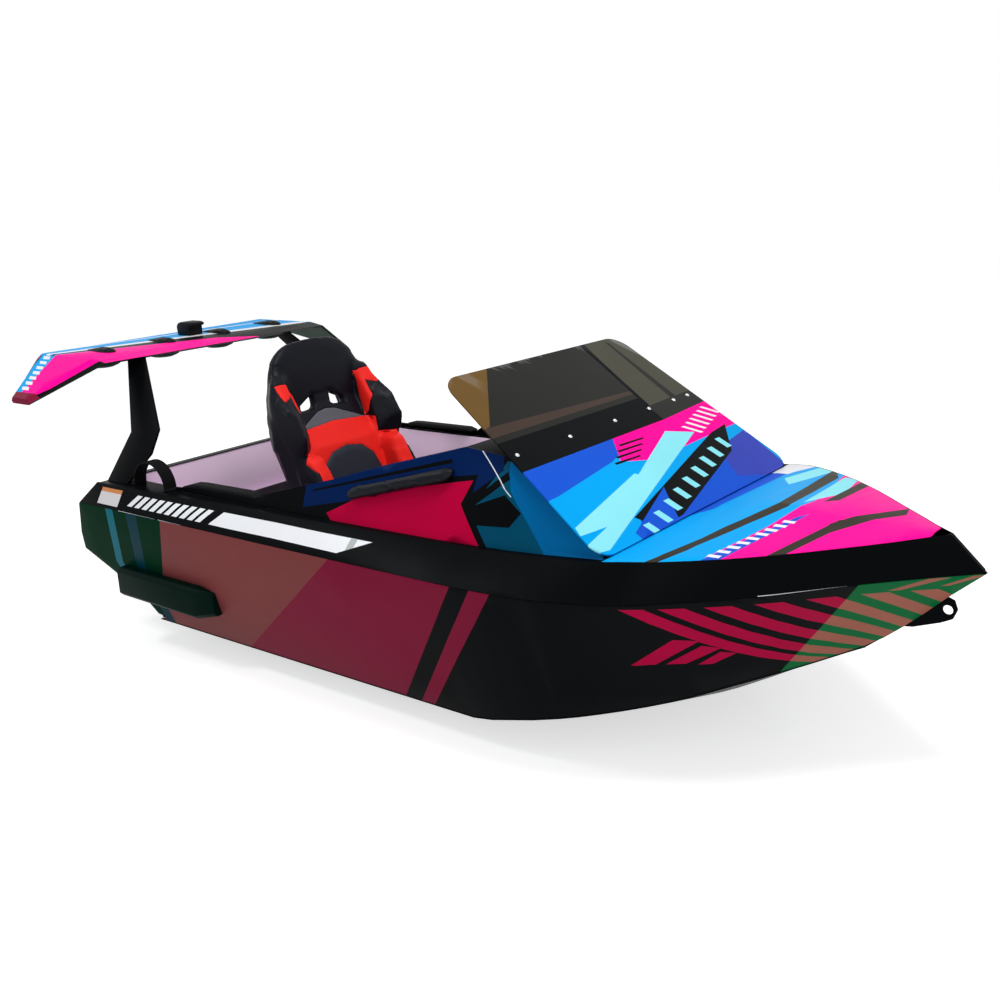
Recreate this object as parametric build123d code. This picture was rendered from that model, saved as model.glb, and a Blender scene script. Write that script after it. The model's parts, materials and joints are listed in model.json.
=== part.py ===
from build123d import *
import os
import math

os.makedirs("parts", exist_ok=True)

# A one-seat jet boat: a welded aluminium hull, an open cockpit with a bucket seat,
# a raked acrylic screen, a rear wing on two leaning uprights and a jet drive.
# Millimetres. X forward, Y to port, Z up. Lengths along the hull are measured from
# the stern deck's corner, and the whole boat is shifted at the end.

# Driving dimensions of the hull
plate = 4.0               # hull plate
seam = 0.4                # gap left beside a weld
fit_gap = 0.3             # between pieces that rest on each other
half_stem = 5.0           # half of the stem bar's thickness
keel_pad = 150.0          # half width of the flat pad under the keel
stern_deck_z = 682.0
cockpit_aft = 36.0        # the well runs back to the stern's lining
cowl_aft = 430.0
cockpit_front = 2150.0
side_deck = 84.0          # between the cockpit's lining and the deck's edge amidships
liner_plate = 4.0
liner_top = 690.0
floor_z = 280.0
foredeck_start = 2406.0
foredeck_end = 3150.0
deck_crown = 34.0
bow_tip_x = 3300.0
bow_tip_z = 652.0
wing_rear_x = -505.0
shift_x = -0.5 * (bow_tip_x + wing_rear_x)   # puts the middle of the boat's length at the origin

# Screen: one flat acrylic sheet over the cowl
screen_top_x = 1725.0
screen_rise = 459.0       # height of its top edge over its bottom edge
screen_top_half = 526.0
screen_bottom_half = 648.0
screen_plate = 5.0
screen_top_corner = 85.0
screen_bottom_corner = 60.0

# Jet drive and steering
jet_z = 130.0
pump_bore = 76.0
pump_wall = 10.0
shaft_radius = 13.0
wheel_centre = Vector(1630, 0, 850)
wheel_radius = 150.0
wheel_rake = 24.0         # degrees between the column and the floor
column_radius = 24.0

# Hull lines: x, keel z, pad half width, chine y, chine z, knuckle y, knuckle z, deck y, deck z
hull_lines = [
    (-220, 0, keel_pad, 660, 100, 780, 600, 729, 683),
    (250, 0, keel_pad, 660, 100, 780, 600, 728, 685),
    (1100, 0, keel_pad, 660, 100, 780, 600, 700, 690),
    (1900, 0, keel_pad, 660, 100, 780, 602, 668, 698),
    (2050, 0, 132, 650, 127, 776, 604, 668, 704),
    (2200, 8, 105, 600, 150, 764, 607, 664, 712),
    (2370, 50, 72, 490, 176, 722, 612, 655, 722),
    (2490, 95, 50, 400, 200, 674, 616, 635, 736),
    (2660, 185, 30, 300, 260, 560, 622, 540, 741),
    (2840, 290, 18, 150, 318, 410, 630, 388, 744),
    (2960, 350, 12, 34, 358, 290, 636, 262, 746),
    (3070, 440, 0, 0, 440, 190, 641, 145, 749),
    (3196, 560, 0, 0, 560, 85, 647, 0, 755),
    (3292, 645, 0, 0, 645, 0, 651, 0, 661),
]
straight_to = 1900        # aft of this the lines are straight
bottom_end = 2960         # where the two halves of the bottom close on the stem
smooth_step = 60.0        # distance between sections where the lines curve

# Stern outline of a side plate, from the keel up: x, z
stern_line = [(250, -50), (250, 120), (210, 125), (160, 180), (90, 200), (50, 255),
              (-170, 370), (-150, 450), (-80, 590), (0, 684), (0, 900)]
transom_x = 216.0
underside_front = (222.0, 246.0)


# Shapes used all over the boat
def lerp(a, b, t):
    return a + (b - a) * t


def polygon(points):
    return Wire.make_polygon([Vector(*p) for p in points], close=True)


def distance(a, b):
    return math.dist(a, b)


def patch(a, b, c, d):
    """Flat faces over the four corners, split along the shorter diagonal where they aren't in a plane."""
    if distance(a, b) < 0.01:
        return [Face(polygon([b, c, d]))]
    if distance(c, d) < 0.01:
        return [Face(polygon([a, b, c]))]
    normal = (Vector(*b) - Vector(*a)).cross(Vector(*c) - Vector(*a)).normalized()
    if abs(normal.dot(Vector(*d) - Vector(*a))) < 0.001:
        return [Face(polygon([a, b, c, d]))]
    if distance(a, c) <= distance(b, d):
        return [Face(polygon([a, b, c])), Face(polygon([a, c, d]))]
    return [Face(polygon([a, b, d])), Face(polygon([b, c, d]))]


def twisted(a, b, c, d):
    """One face over the four corners, curved where they aren't in a plane."""
    return [Face.make_surface_from_curves(Edge.make_line(a, b), Edge.make_line(d, c))]


def ruled(sections, skin=patch, ring=False):
    """Solid through flat polygons, straight from each to the next, or round to the first again."""
    faces = [] if ring else [Face(polygon(sections[0])), Face(polygon(sections[-1]))]
    following = sections[1:] + sections[:1] if ring else sections[1:]
    for low, high in zip(sections, following):
        for i in range(len(low)):
            j = (i + 1) % len(low)
            faces += skin(low[i], low[j], high[j], high[i])
    return Solid(Shell(faces))


def both(solid):
    return solid, solid.mirror(Plane.XZ)


def xz_prism(points, y_low, y_high):
    """Outline in X and Z, as wide as the two values of Y."""
    face = Face(polygon([(x, y_low, z) for x, z in points]))
    return Solid.extrude(face, Vector(0, y_high - y_low, 0))


def plate_on(plane, outline, thick):
    """Flat plate on a plane, thick along the plane's normal."""
    return plane * extrude(outline, amount=thick)


def box(x_low, x_high, y_low, y_high, z_low, z_high):
    size = (x_high - x_low, y_high - y_low, z_high - z_low)
    return Solid.make_box(*size, Plane(origin=(x_low, y_low, z_low)))


def tube_x(x_low, x_high, z, radius, y=0.0):
    return Solid.make_cylinder(radius, x_high - x_low, Plane((x_low, y, z), z_dir=(1, 0, 0)))


def tube_y(x, y_low, y_high, z, radius):
    return Solid.make_cylinder(radius, y_high - y_low, Plane((x, y_low, z), z_dir=(0, 1, 0)))


def turned_x(profile, z, sides=24):
    """Many-sided body round an axis along X: x, radius of each ring."""
    rings = []
    for x, radius in profile:
        angles = [2 * math.pi * (k + 0.5) / sides for k in range(sides)]
        rings.append([(x, radius * math.cos(a), z + radius * math.sin(a)) for a in angles])
    return ruled(rings)


# Hull lines, smoothed between the rows where they curve
def slope_at(row, column):
    """Slope of a line at a row, flat where the line turns back."""
    here, last = hull_lines[row], len(hull_lines) - 2
    before = (here[column] - hull_lines[row - 1][column]) / (here[0] - hull_lines[row - 1][0])
    if row == last:
        return before
    after = (hull_lines[row + 1][column] - here[column]) / (hull_lines[row + 1][0] - here[0])
    return 2 * before * after / (before + after) if before * after > 0 else 0.0


def smooth_rows():
    rows = list(hull_lines[:1])
    for k in range(1, len(hull_lines)):
        low, high = hull_lines[k - 1], hull_lines[k]
        span = high[0] - low[0]
        if low[0] >= straight_to and k < len(hull_lines) - 1:
            steps = max(2, round(span / smooth_step))
            for step in range(1, steps):
                t = step / steps
                row = [lerp(low[0], high[0], t)]
                for column in range(1, len(low)):
                    start, end = slope_at(k - 1, column) * span, slope_at(k, column) * span
                    row.append((2 * t**3 - 3 * t**2 + 1) * low[column] + (3 * t**2 - 2 * t**3) * high[column]
                               + (t**3 - 2 * t**2 + t) * start + (t**3 - t**2) * end)
                rows.append(tuple(row))
        rows.append(high)
    return rows


hull_rows = smooth_rows()
stations = [row[0] for row in hull_rows]


def line_at(x, column):
    """Value of one of the hull's lines at x."""
    for low, high in zip(hull_rows, hull_rows[1:]):
        if x <= high[0]:
            return lerp(low[column], high[column], (x - low[0]) / (high[0] - low[0]))
    return hull_rows[-1][column]


def pad_half(x):
    return line_at(x, 2)


def deck_y(x):
    return line_at(x, 7)


def deck_z(x):
    return line_at(x, 8)


amidships = 1100.0
cockpit_half = deck_y(amidships) - side_deck      # outer face of the cockpit's lining


nodes = {}
stern_cut = xz_prism([(-500, -50)] + stern_line + [(-500, 900)], -1000, 1000)
least = half_stem + plate + seam      # nearest that a side plate's face comes to the centreline


# Hull plates
def bottom_section(x):
    keel, pad = line_at(x, 1), max(pad_half(x), 8)
    chine_y, chine_z = line_at(x, 3), line_at(x, 4)
    outside = [(-chine_y, chine_z), (-pad, keel), (pad, keel), (chine_y, chine_z)]
    inside = [(y, z + plate) for y, z in reversed(outside)]
    return [(x, y, z) for y, z in outside + inside]


def side_section(x):
    low_y, low_z = max(line_at(x, 3), least), line_at(x, 4) + plate + seam
    high_y, high_z = max(line_at(x, 5), least), line_at(x, 6)
    if x > bottom_end:
        low_z = line_at(x, 4)
    return [(x, low_y, low_z), (x, high_y, high_z),
            (x, high_y - plate, high_z), (x, low_y - plate, low_z)]


def sheer_section(x):
    low_y, low_z = max(line_at(x, 5), least), line_at(x, 6) + seam
    high_y, high_z = max(deck_y(x), least), deck_z(x)
    return [(x, low_y, low_z), (x, high_y, high_z),
            (x, high_y - plate, high_z), (x, low_y - plate, low_z)]


def inner_section(x):
    """Space inside the plates, for trimming what fits across the hull."""
    gap = plate + seam
    half = [(pad_half(x), line_at(x, 1) + gap), (line_at(x, 3) - 2 * gap, line_at(x, 4) + gap),
            (line_at(x, 5) - gap, line_at(x, 6)), (deck_y(x) - gap, deck_z(x))]
    right = [(x, y, z) for y, z in half]
    left = [(x, -y, z) for y, z in reversed(half)]
    return right + left


inner_hull = ruled([inner_section(x) for x in stations if x <= 2660])

bottom = ruled([bottom_section(x) for x in stations if x <= bottom_end])
intake_x = (345.0, 560.0)
intake_half = 85.0
stem_slot = box(2845, 3000, -half_stem - seam, half_stem + seam, 200, 500)
nodes["hull_bottom"] = (bottom - box(-500, transom_x - seam, -900, 900, -60, 200)
                        - box(*intake_x, -intake_half, intake_half, -10, 20) - stem_slot)

side = ruled([side_section(x) for x in stations]) - stern_cut
nodes["side_port"], nodes["side_starboard"] = both(side)

sheer = ruled([sheer_section(x) for x in stations]) - stern_cut
nodes["sheer_port"], nodes["sheer_starboard"] = both(sheer)

# Lifting strakes under the bottom: their distances from the centreline
strake_places = (330.0, 520.0)
strake_x = (300.0, 1850.0)
strake_half = 17.0
strake_depth = 15.0


def bottom_z(x, y):
    return lerp(line_at(x, 1), line_at(x, 4), (y - pad_half(x)) / (line_at(x, 3) - pad_half(x)))


strakes = []
for y in strake_places:
    inner, outer = y - strake_half, y + strake_half
    rows = []
    for x, depth in ((strake_x[0], 3.0), (strake_x[0] + 60, strake_depth), (strake_x[1] - 200, strake_depth),
                     (strake_x[1], 3.0)):
        rows.append([(x, inner, bottom_z(x, inner) - fit_gap), (x, outer, bottom_z(x, outer) - fit_gap),
                     (x, outer, bottom_z(x, outer) - depth)])
    strakes += both(ruled(rows))
nodes["strakes"] = strakes

nose_top = (3196.0, 755.0)
stem_points = [(2850, line_at(2850, 1)), (2960, 350), (3070, 440), (3196, 560),
               (bow_tip_x, bow_tip_z), nose_top, (foredeck_end, 735), (3205, 655),
               (3140, 560), (3050, 470), (2950, 385), (2850, 310)]
nodes["stem_bar"] = xz_prism(stem_points, -half_stem, half_stem)

eye_centre = (3198.0, 520.0)
eye_bore = 15.0
eye_points = [(3072, 441.9), (3196, 560), (3216, 552), (3226, 524), (3214, 494), (3180, 476), (3100, 446)]
nodes["tow_eye"] = (xz_prism(eye_points, -half_stem, half_stem)
                    - tube_y(eye_centre[0], -20, 20, eye_centre[1], eye_bore))

# Stern
transom = box(transom_x, transom_x + plate, -800, 800, -20, underside_front[1] - seam)
nodes["transom"] = (transom & inner_hull) - tube_x(transom_x - 10, transom_x + 10, jet_z,
                                                   pump_bore + pump_wall + seam)

stern_outer = [underside_front, (50, 255), (-170, 370), (-150, 450), (-80, 590), (0, 680)]
stern_inner = [(6, 680), (-74, 586), (-144, 448), (-163, 374), (53, 260), (222, 251)]
nodes["stern_panel"] = xz_prism(stern_outer + stern_inner, -900, 900) & inner_hull

# Stern deck: a rim across the stern and a strip along each side of the well
deck_aft = 8.0
rim_front = cockpit_aft + 8
stern_deck = box(deck_aft, cowl_aft - seam, -800, 800, stern_deck_z - plate, stern_deck_z) & inner_hull
nodes["stern_deck"] = stern_deck - box(rim_front, cowl_aft, -cockpit_half - seam, cockpit_half + seam,
                                       stern_deck_z - 20, stern_deck_z + 20)



# Decks
def deck_half(x):
    return max(deck_y(x) - plate - seam, 5.5)


def foredeck_section(x):
    half, z = deck_half(x), deck_z(x)
    crown = deck_crown * min(half / 500.0, (x - foredeck_start) / 200.0, 1.0)
    outside = [(-half, z), (0, z + crown), (half, z)]
    inside = [(y, z - plate) for y, z in reversed(outside)]
    return [(x, y, z) for y, z in outside + inside]


deck_stations = [foredeck_start] + [x for x in stations if foredeck_start < x < foredeck_end] + [foredeck_end]
nodes["foredeck"] = ruled([foredeck_section(x) for x in deck_stations])

strip_drop = 2.0          # the side decks lie this far below the deck's edge


def strip_section(x):
    z = deck_z(x) - strip_drop
    inner, outer = min(cockpit_half + seam, deck_half(x) - 4), deck_half(x)
    return [(x, inner, z), (x, outer, z), (x, outer, z - plate), (x, inner, z - plate)]


strip_stations = [cowl_aft] + [x for x in stations if cowl_aft < x < foredeck_start]
strip_stations += [foredeck_start - seam]
nodes["side_decks"] = both(ruled([strip_section(x) for x in strip_stations]))

# The sheet's underside, which the cowl follows
screen_bottom_x = foredeck_start
screen_bottom_z = deck_z(foredeck_start) + 1
screen_run = screen_bottom_x - screen_top_x


def sheet_z(x):
    return screen_bottom_z + screen_rise * (screen_bottom_x - x) / screen_run


def sheet_half(x):
    return lerp(screen_bottom_half, screen_top_half, (screen_bottom_x - x) / screen_run)


# Cowl beside and under the screen
sheet_lap = 22.0          # the sheet stands out past the cowl by this much
hood_rear = 1840.0
hood_front = 2040.0
crease_share = 0.6        # where the unbent side's middle line runs, of its height
foot_gap = seam - strip_drop


def foot_z(x):
    return deck_z(x) + foot_gap


# Edges of the cowl side where it is flat: x, foot y, top y, top z
cowl_foot = cockpit_half + 40
cowl_open = [
    (cowl_aft, cowl_foot, cowl_foot, 700),
    (570, cowl_foot, cowl_foot - 2, 709),
    (905, cowl_foot, cowl_foot - 5, 712),
    (940, cowl_foot, cowl_foot - 6, 735),
    (1280, cowl_foot - 1, cowl_foot - 36, 826),
    (1520, cowl_foot - 2, cowl_foot - 71, 900),
    (hood_rear, cowl_foot - 6, cowl_foot - 104, 988),
]
# Under the sheet, with a bend below the edge: x, foot y, bend y, bend z
cowl_tip = foredeck_start - 8
cowl_bent = [
    (hood_front, cowl_foot - 11, cowl_foot - 49, 887),
    (2200, cowl_foot - 18, cowl_foot - 24, 724),
    (cowl_tip, cowl_foot - 30, cowl_foot - 34, deck_z(cowl_tip) + 2),
]
cowl_rows = []
for x, foot, top, z in cowl_open:
    cowl_rows.append((x, foot, lerp(foot, top, crease_share), lerp(foot_z(x), z, crease_share), top, z))
for x, foot, bend, z in cowl_bent:
    cowl_rows.append((x, foot, bend, z, sheet_half(x) - sheet_lap, sheet_z(x)))


def cowl_at(x):
    """Row of the cowl side at x."""
    for low, high in zip(cowl_rows, cowl_rows[1:]):
        if x <= high[0]:
            return [lerp(a, b, (x - low[0]) / (high[0] - low[0])) for a, b in zip(low, high)]


def cowl_face(x, z):
    """Distance of the flat cowl side's outer face from the centreline."""
    foot, top, top_z = (cowl_at(x)[k] for k in (1, 4, 5))
    return lerp(foot, top, (z - foot_z(x)) / (top_z - foot_z(x)))


def cowl_section(row):
    x, foot, bend, bend_z, top, top_z = row
    outside = [(foot, foot_z(x)), (bend, bend_z), (top, top_z)]
    inside = [(y - plate, z) for y, z in reversed(outside)]
    return [(x, y, z) for y, z in outside + inside]


nodes["cowl_port"], nodes["cowl_starboard"] = both(ruled([cowl_section(row) for row in cowl_rows], twisted))


def across(x, half, z):
    return [(x, -half, z), (x, half, z), (x, half, z - plate), (x, -half, z - plate)]


cowl_clear = plate + seam
open_rows = len(cowl_open)
hood_rows = [(hood_rear, cowl_rows[open_rows - 1]), (hood_front - 0.5, cowl_rows[open_rows])]
nodes["dash_hood"] = ruled([across(x, row[4] - cowl_clear, row[5]) for x, row in hood_rows])
nodes["cowl_front"] = ruled([across(row[0], row[4] - cowl_clear, row[5]) for row in cowl_rows[open_rows:]])

dash_x = 1852.0
foot, bend, bend_z, top, top_z = cowl_at(dash_x)[1:]
dash_top = top_z - plate - fit_gap
dash_edge = lerp(bend, top, (dash_top - bend_z) / (top_z - bend_z))
dash_half = [(foot, foot_z(dash_x)), (bend, bend_z), (dash_edge, dash_top)]
dash_outline = [(dash_x, cowl_clear - y, z) for y, z in dash_half]
dash_outline += [(dash_x, y - cowl_clear, z) for y, z in reversed(dash_half)]
dash = Solid.extrude(Face(polygon(dash_outline)), Vector(plate, 0, 0))
rake_angle = math.radians(wheel_rake)
column_axis = Vector(-math.cos(rake_angle), 0, math.sin(rake_angle))
hole_start = wheel_centre - column_axis * 300
column_hole = Solid.make_cylinder(column_radius + fit_gap, 400, Plane(hole_start, z_dir=column_axis))
nodes["dash"] = dash - column_hole

# Screen
rake = math.atan2(screen_rise, screen_run)
screen_normal = Vector(math.sin(rake), 0, math.cos(rake))
screen_length = math.hypot(screen_rise, screen_run)
screen_plane = Plane(origin=Vector(screen_bottom_x, 0, screen_bottom_z) + screen_normal * fit_gap,
                     x_dir=(0, 1, 0), z_dir=screen_normal)
screen_outline = make_face(Polyline((-screen_bottom_half, 0), (screen_bottom_half, 0),
                                    (screen_top_half, screen_length), (-screen_top_half, screen_length),
                                    close=True))
corners = screen_outline.vertices().sort_by(Axis.Y)
screen_outline = fillet(corners[:2], screen_bottom_corner)
corners = screen_outline.vertices().sort_by(Axis.Y)
screen_outline = fillet(corners[-2:], screen_top_corner)
nodes["screen"] = plate_on(screen_plane, screen_outline, screen_plate)

# Cockpit lining and floor
liner = box(cockpit_aft + liner_plate + seam, cockpit_front, cockpit_half - liner_plate, cockpit_half,
            floor_z + plate + seam, liner_top)
rim_cut = box(cockpit_aft, rim_front + seam, 0, 800, stern_deck_z - plate - seam, liner_top + 10)
nodes["liner_sides"] = both((liner - rim_cut) & inner_hull)
nodes["aft_wall"] = box(cockpit_aft, cockpit_aft + liner_plate, -cockpit_half, cockpit_half,
                        floor_z + plate + seam, stern_deck_z - plate - seam)
toe_board = box(cockpit_front + seam, cockpit_front + seam + plate, -cockpit_half, cockpit_half, 40, 700)
nodes["toe_board"] = toe_board & inner_hull
engine_x = (520.0, 790.0)
engine_half = 300.0
engine_top = 440.0
cover_x = (460.0, 800.0)
cover_top = 470.0
floor = box(cockpit_aft, cockpit_front, -640, 640, floor_z, floor_z + plate)
nodes["floor"] = floor - box(*cover_x, -engine_half, engine_half, floor_z - 80, floor_z + 80)

# Engine on its beds, and the box over it that the seat stands on
bed_half = 15.0
beds = [box(*engine_x, y - bed_half, y + bed_half, plate + fit_gap, 120) for y in (-130, 130)]
nodes["engine"] = box(*engine_x, -170, 170, 110, engine_top) + beds[0] + beds[1]
cover_half = engine_half + 20
cover_low = floor_z + plate + seam


def hollow(x_low, x_high, half):
    """The box's outer block and the space inside it."""
    outside = box(x_low, x_high, -half, half, cover_low, cover_top)
    return outside, box(x_low + plate, x_high - plate, plate - half, half - plate, 0, cover_top - plate)


seat_box, seat_space = hollow(*cover_x, cover_half)
bay_box, bay_space = hollow(cockpit_aft + liner_plate + 2, cover_x[0] + plate, cockpit_half - liner_plate - 2)
# Hatch over the pump bay, hinged along its aft edge
hatch_x = (76.0, 420.0)
hatch_half = 330.0
hatch_lap = 20.0
hatch_plate = 5.0
hinge_radius = 5.0
hinge = (hatch_x[0] - hinge_radius - 1, cover_top + 4)
bay_space = bay_space + box(hatch_x[0] + hatch_lap, hatch_x[1] - hatch_lap, hatch_lap - hatch_half,
                            hatch_half - hatch_lap, cover_top - 20, cover_top + 20)
nodes["engine_box"] = (seat_box + bay_box - seat_space - bay_space
                       + tube_y(hinge[0], -hatch_half, hatch_half, hinge[1], hinge_radius))
hatch_low = cover_top + fit_gap
hatch = box(*hatch_x, -hatch_half, hatch_half, hatch_low, hatch_low + hatch_plate)
latch = box(hatch_x[1] - 50, hatch_x[1] - 15, -30, 30, hatch_low + 1, hatch_low + hatch_plate + 9)
nodes["engine_hatch"] = hatch + latch

# Jet drive
duct_wall = 10.0
duct_aft = 322.0
duct = xz_prism([(duct_aft, plate + seam), (duct_aft, jet_z + 92), (intake_x[0] + 40, jet_z + 92),
                 (intake_x[1] + 14, 40), (intake_x[1] + 14, plate + seam)],
                -intake_half - duct_wall, intake_half + duct_wall)
duct_space = xz_prism([(duct_aft + 12, -10), (duct_aft + 12, jet_z + 80), (intake_x[0] + 34, jet_z + 80),
                       (intake_x[1], 34), (intake_x[1], -10)], -intake_half, intake_half)
nodes["jet_duct"] = (duct - duct_space - tube_x(duct_aft - 5, duct_aft + 30, jet_z, pump_bore)
                     - tube_x(duct_aft, 700, jet_z, shaft_radius + fit_gap))
bars = [box(intake_x[0] + fit_gap, intake_x[1] - fit_gap, y - 4, y + 4, 0.5, 12)
        for y in (-56, -28, 0, 28, 56)]
nodes["intake_grate"] = bars

# Pump housing: straight vanes carry the bearing cone behind the impeller
jet_axis = Axis((0, 0, jet_z), (1, 0, 0))
pump_aft = 100.0
stator_x = (140.0, 208.0)
stator_hub = 24.0
vane_count = 5
vane_half = 2.0
pump = (tube_x(pump_aft, duct_aft - seam, jet_z, pump_bore + pump_wall)
        - tube_x(pump_aft - 10, duct_aft + 5, jet_z, pump_bore))
cone = turned_x([(105, 5), (118, 13), (stator_x[0], 21), (160, stator_hub), (stator_x[1], stator_hub)],
                jet_z, 16)
vane = box(*stator_x, -vane_half, vane_half, jet_z + stator_hub - 3, jet_z + pump_bore + 2)
stator = cone
for k in range(vane_count):
    stator = stator + vane.rotate(jet_axis, 360 / vane_count * (k + 0.5))
ear_low = 74.0
ear = box(70, 130, -16, 16, jet_z + ear_low, jet_z + ear_low + 9)
nodes["pump_housing"] = pump + stator + ear + ear.rotate(jet_axis, 180)

# Impeller: each blade is a twisted plate, steeper at the hub
hub_x = (214.0, 302.0)
hub_radius = 25.0
blade_count = 4
blade_middle = 257.0
blade_pitch = 200.0       # advance in one turn
blade_chord = 62.0
blade_half = 1.6
blade_tip = pump_bore - 4


def blade_section(radius):
    """Thin rectangle across the blade at a radius, turned to the pitch there."""
    angle = math.atan2(blade_pitch, 2 * math.pi * radius)
    along = (math.sin(angle), math.cos(angle))
    over = (math.cos(angle), -math.sin(angle))
    section = []
    for u, v in ((-1, -1), (1, -1), (1, 1), (-1, 1)):
        x = blade_middle + along[0] * u * blade_chord / 2 + over[0] * v * blade_half
        y = along[1] * u * blade_chord / 2 + over[1] * v * blade_half
        section.append((x, y, jet_z + radius))
    return section


blade = ruled([blade_section(r) for r in (hub_radius - 8, 34, 46, blade_tip - 8)])
impeller = (tube_x(*hub_x, jet_z, hub_radius)
            + tube_x(hub_x[1] - 5, engine_x[0] - fit_gap, jet_z, shaft_radius))
for k in range(blade_count):
    impeller = impeller + blade.rotate(jet_axis, 360 / blade_count * k)
nodes["impeller"] = impeller

# Steering nozzle, on upright pins in the housing's ears, with pins for the bucket
nozzle_pivot_x = 84.0
nozzle = (turned_x([(96, 68), (40, 63), (-34, 52)], jet_z)
          - turned_x([(98, 60.2), (40, 55), (-36, 43.8)], jet_z))
lug_half = 11.0
lug_top = ear_low - fit_gap
# Pivot lugs: turn about the jet, x, inner radius
for turn, x, inner in ((0, nozzle_pivot_x, 62), (90, 20, 55), (180, nozzle_pivot_x, 62), (270, 20, 55)):
    lug = box(x - lug_half, x + lug_half, -lug_half, lug_half, jet_z + inner, jet_z + lug_top)
    nozzle = nozzle + lug.rotate(jet_axis, turn)
nodes["steering_nozzle"] = nozzle

# Reverse bucket: part of a shell round its pivot, on two arms
bucket_x = 20.0
bucket_low, bucket_high = 112.0, 118.0
arm_low, arm_high = 74.0, 82.0
shell = (tube_y(bucket_x, -arm_high, arm_high, jet_z, bucket_high)
         - tube_y(bucket_x, -100, 100, jet_z, bucket_low))
shell_low, shell_high = math.radians(38), math.radians(88)
wedge_reach = 300
wedge = xz_prism([(bucket_x, jet_z), (bucket_x + wedge_reach * math.cos(shell_high), jet_z + wedge_reach),
                  (bucket_x - wedge_reach, jet_z + wedge_reach),
                  (bucket_x - wedge_reach, jet_z + wedge_reach * math.tan(shell_low))], -100, 100)
arm = xz_prism([(bucket_x + 18, jet_z - 18), (bucket_x + 18, jet_z + 18),
                (bucket_x + 3, jet_z + bucket_low + 2), (bucket_x - 89, jet_z + 72),
                (bucket_x - 18, jet_z - 18)], arm_low, arm_high)
nodes["reverse_bucket"] = (shell & wedge) + arm + arm.mirror(Plane.XZ)

# Steering wheel and column
wheel_plane = Plane(wheel_centre, z_dir=column_axis)
rim_sides = 28
grip = 14.0
rim_rows = []
for k in range(rim_sides):
    around = 2 * math.pi * k / rim_sides
    ring = []
    for m in range(8):
        reach = wheel_radius + grip * math.cos(math.pi * m / 4)
        point = Vector(reach * math.cos(around), reach * math.sin(around), grip * math.sin(math.pi * m / 4))
        ring.append(tuple(wheel_plane.from_local_coords(point)))
    rim_rows.append(ring)
hub_half = 12.0
hub_plane = Plane(wheel_centre - column_axis * hub_half, z_dir=column_axis)
wheel = ruled(rim_rows, ring=True) + Solid.make_cylinder(30, 2 * hub_half, hub_plane)
for angle in (90, 210, 330):
    spoke = Solid.make_box(wheel_radius - 18, 34, 6, Plane((12, -17, -3))).rotate(Axis.Z, angle)
    wheel = wheel + wheel_plane.location * spoke
nodes["steering_wheel"] = wheel
column_length = 236.0
column_start = wheel_centre - column_axis * (hub_half + fit_gap + column_length)
column_plane = Plane(column_start, z_dir=column_axis)
nodes["steering_column"] = Solid.make_cylinder(column_radius, column_length, column_plane)

# Foot pedal on an arm from the toe board
pedal_y = -145.0
pedal_x = cockpit_front - 110
pedal = box(pedal_x, pedal_x + 10, pedal_y - 35, pedal_y + 35, floor_z + 20, floor_z + 150)
pedal_arm = box(pedal_x + 5, cockpit_front, pedal_y - 10, pedal_y + 10, floor_z + 50, floor_z + 70)
nodes["pedal"] = pedal + pedal_arm

# Seat: one bucket with a tall head, side bolsters and a low cushion
# The back's face and rear from the side, top first: x, z
seat_rest = cover_top + fit_gap
seat_face = [(558, 1214), (583, 1080), (590, 940), (630, 870), (712, 775), (748, 640), (797, seat_rest)]
seat_rear = [(700, seat_rest), (625, 640), (560, 780), (540, 905), (538, 1080), (534, 1198)]
# Half of its outline from the front: head from the shoulder up, then the sides from the foot up: y, z
head_line = [(256, 1050), (232, 1126), (160, 1190), (82, 1209), (0, 1214)]
side_line = [(205, seat_rest), (272, 640), (280, 900), head_line[0]]
head_arc = Spline(*head_line, *[(-y, z) for y, z in head_line[-2::-1]])
sides = Polyline(*[(-y, z) for y, z in side_line[::-1]], *side_line)
front_plane = Plane(origin=(400, 0, 0), x_dir=(0, 1, 0), z_dir=(1, 0, 0))
front_shape = plate_on(front_plane, make_face([head_arc, sides]), 600)
back = (xz_prism(seat_face + seat_rear, -300, 300) & front_shape).solids()[0]
# Harness slot through the back, port side: y, z
slot_line = [(46, 926), (46, 980), (124, 938), (128, 912), (62, 916)]
slot = Solid.extrude(Face(polygon([(400, y, z) for y, z in slot_line])), Vector(300, 0, 0))
nodes["seat_back"] = back - slot - slot.mirror(Plane.XZ)

bolster_y = (200.0, 280.0)
seat_front = 1270.0


def ahead(points):
    """Points of the back's face moved forward by a seam's width, for what is sewn against it."""
    return [(x + 1.0, z) for x, z in points]


def outline_at(y, points):
    return [(x, y, z) for x, z in points]


# Shoulder bolster: its front edge slants outward, from the first outline to the second
shoulder_root = ahead([seat_face[4], seat_face[3], seat_face[2], seat_face[1]])
shoulder_inner = [(598, 1080), (631, 1004), (678, 925), (698, 860), (714, 800), (718, 782)]
shoulder_outer = [(602, 1082), (660, 1020), (753, 952), (798, 872), (806, 805), (790, 780)]
nodes["seat_back_wings"] = both(ruled([outline_at(bolster_y[0], shoulder_inner + shoulder_root),
                                       outline_at(bolster_y[1], shoulder_outer + shoulder_root)]))
cushion_low = floor_z + 80
cushion_x = cover_x[1] + seam
cushion = xz_prism([(cushion_x, cushion_low), (seat_front - 30, cushion_low),
                    (seat_front, cushion_low + 80), (seat_front - 25, cushion_low + 140),
                    (seat_front - 260, cushion_low + 110), (cushion_x + 20, cushion_low + 120),
                    (cushion_x, cushion_low + 105)], -bolster_y[0], bolster_y[0])
nodes["seat_cushion"] = cushion
thigh_root = ahead([(715.5, 762), seat_face[5], seat_face[6]])
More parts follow.
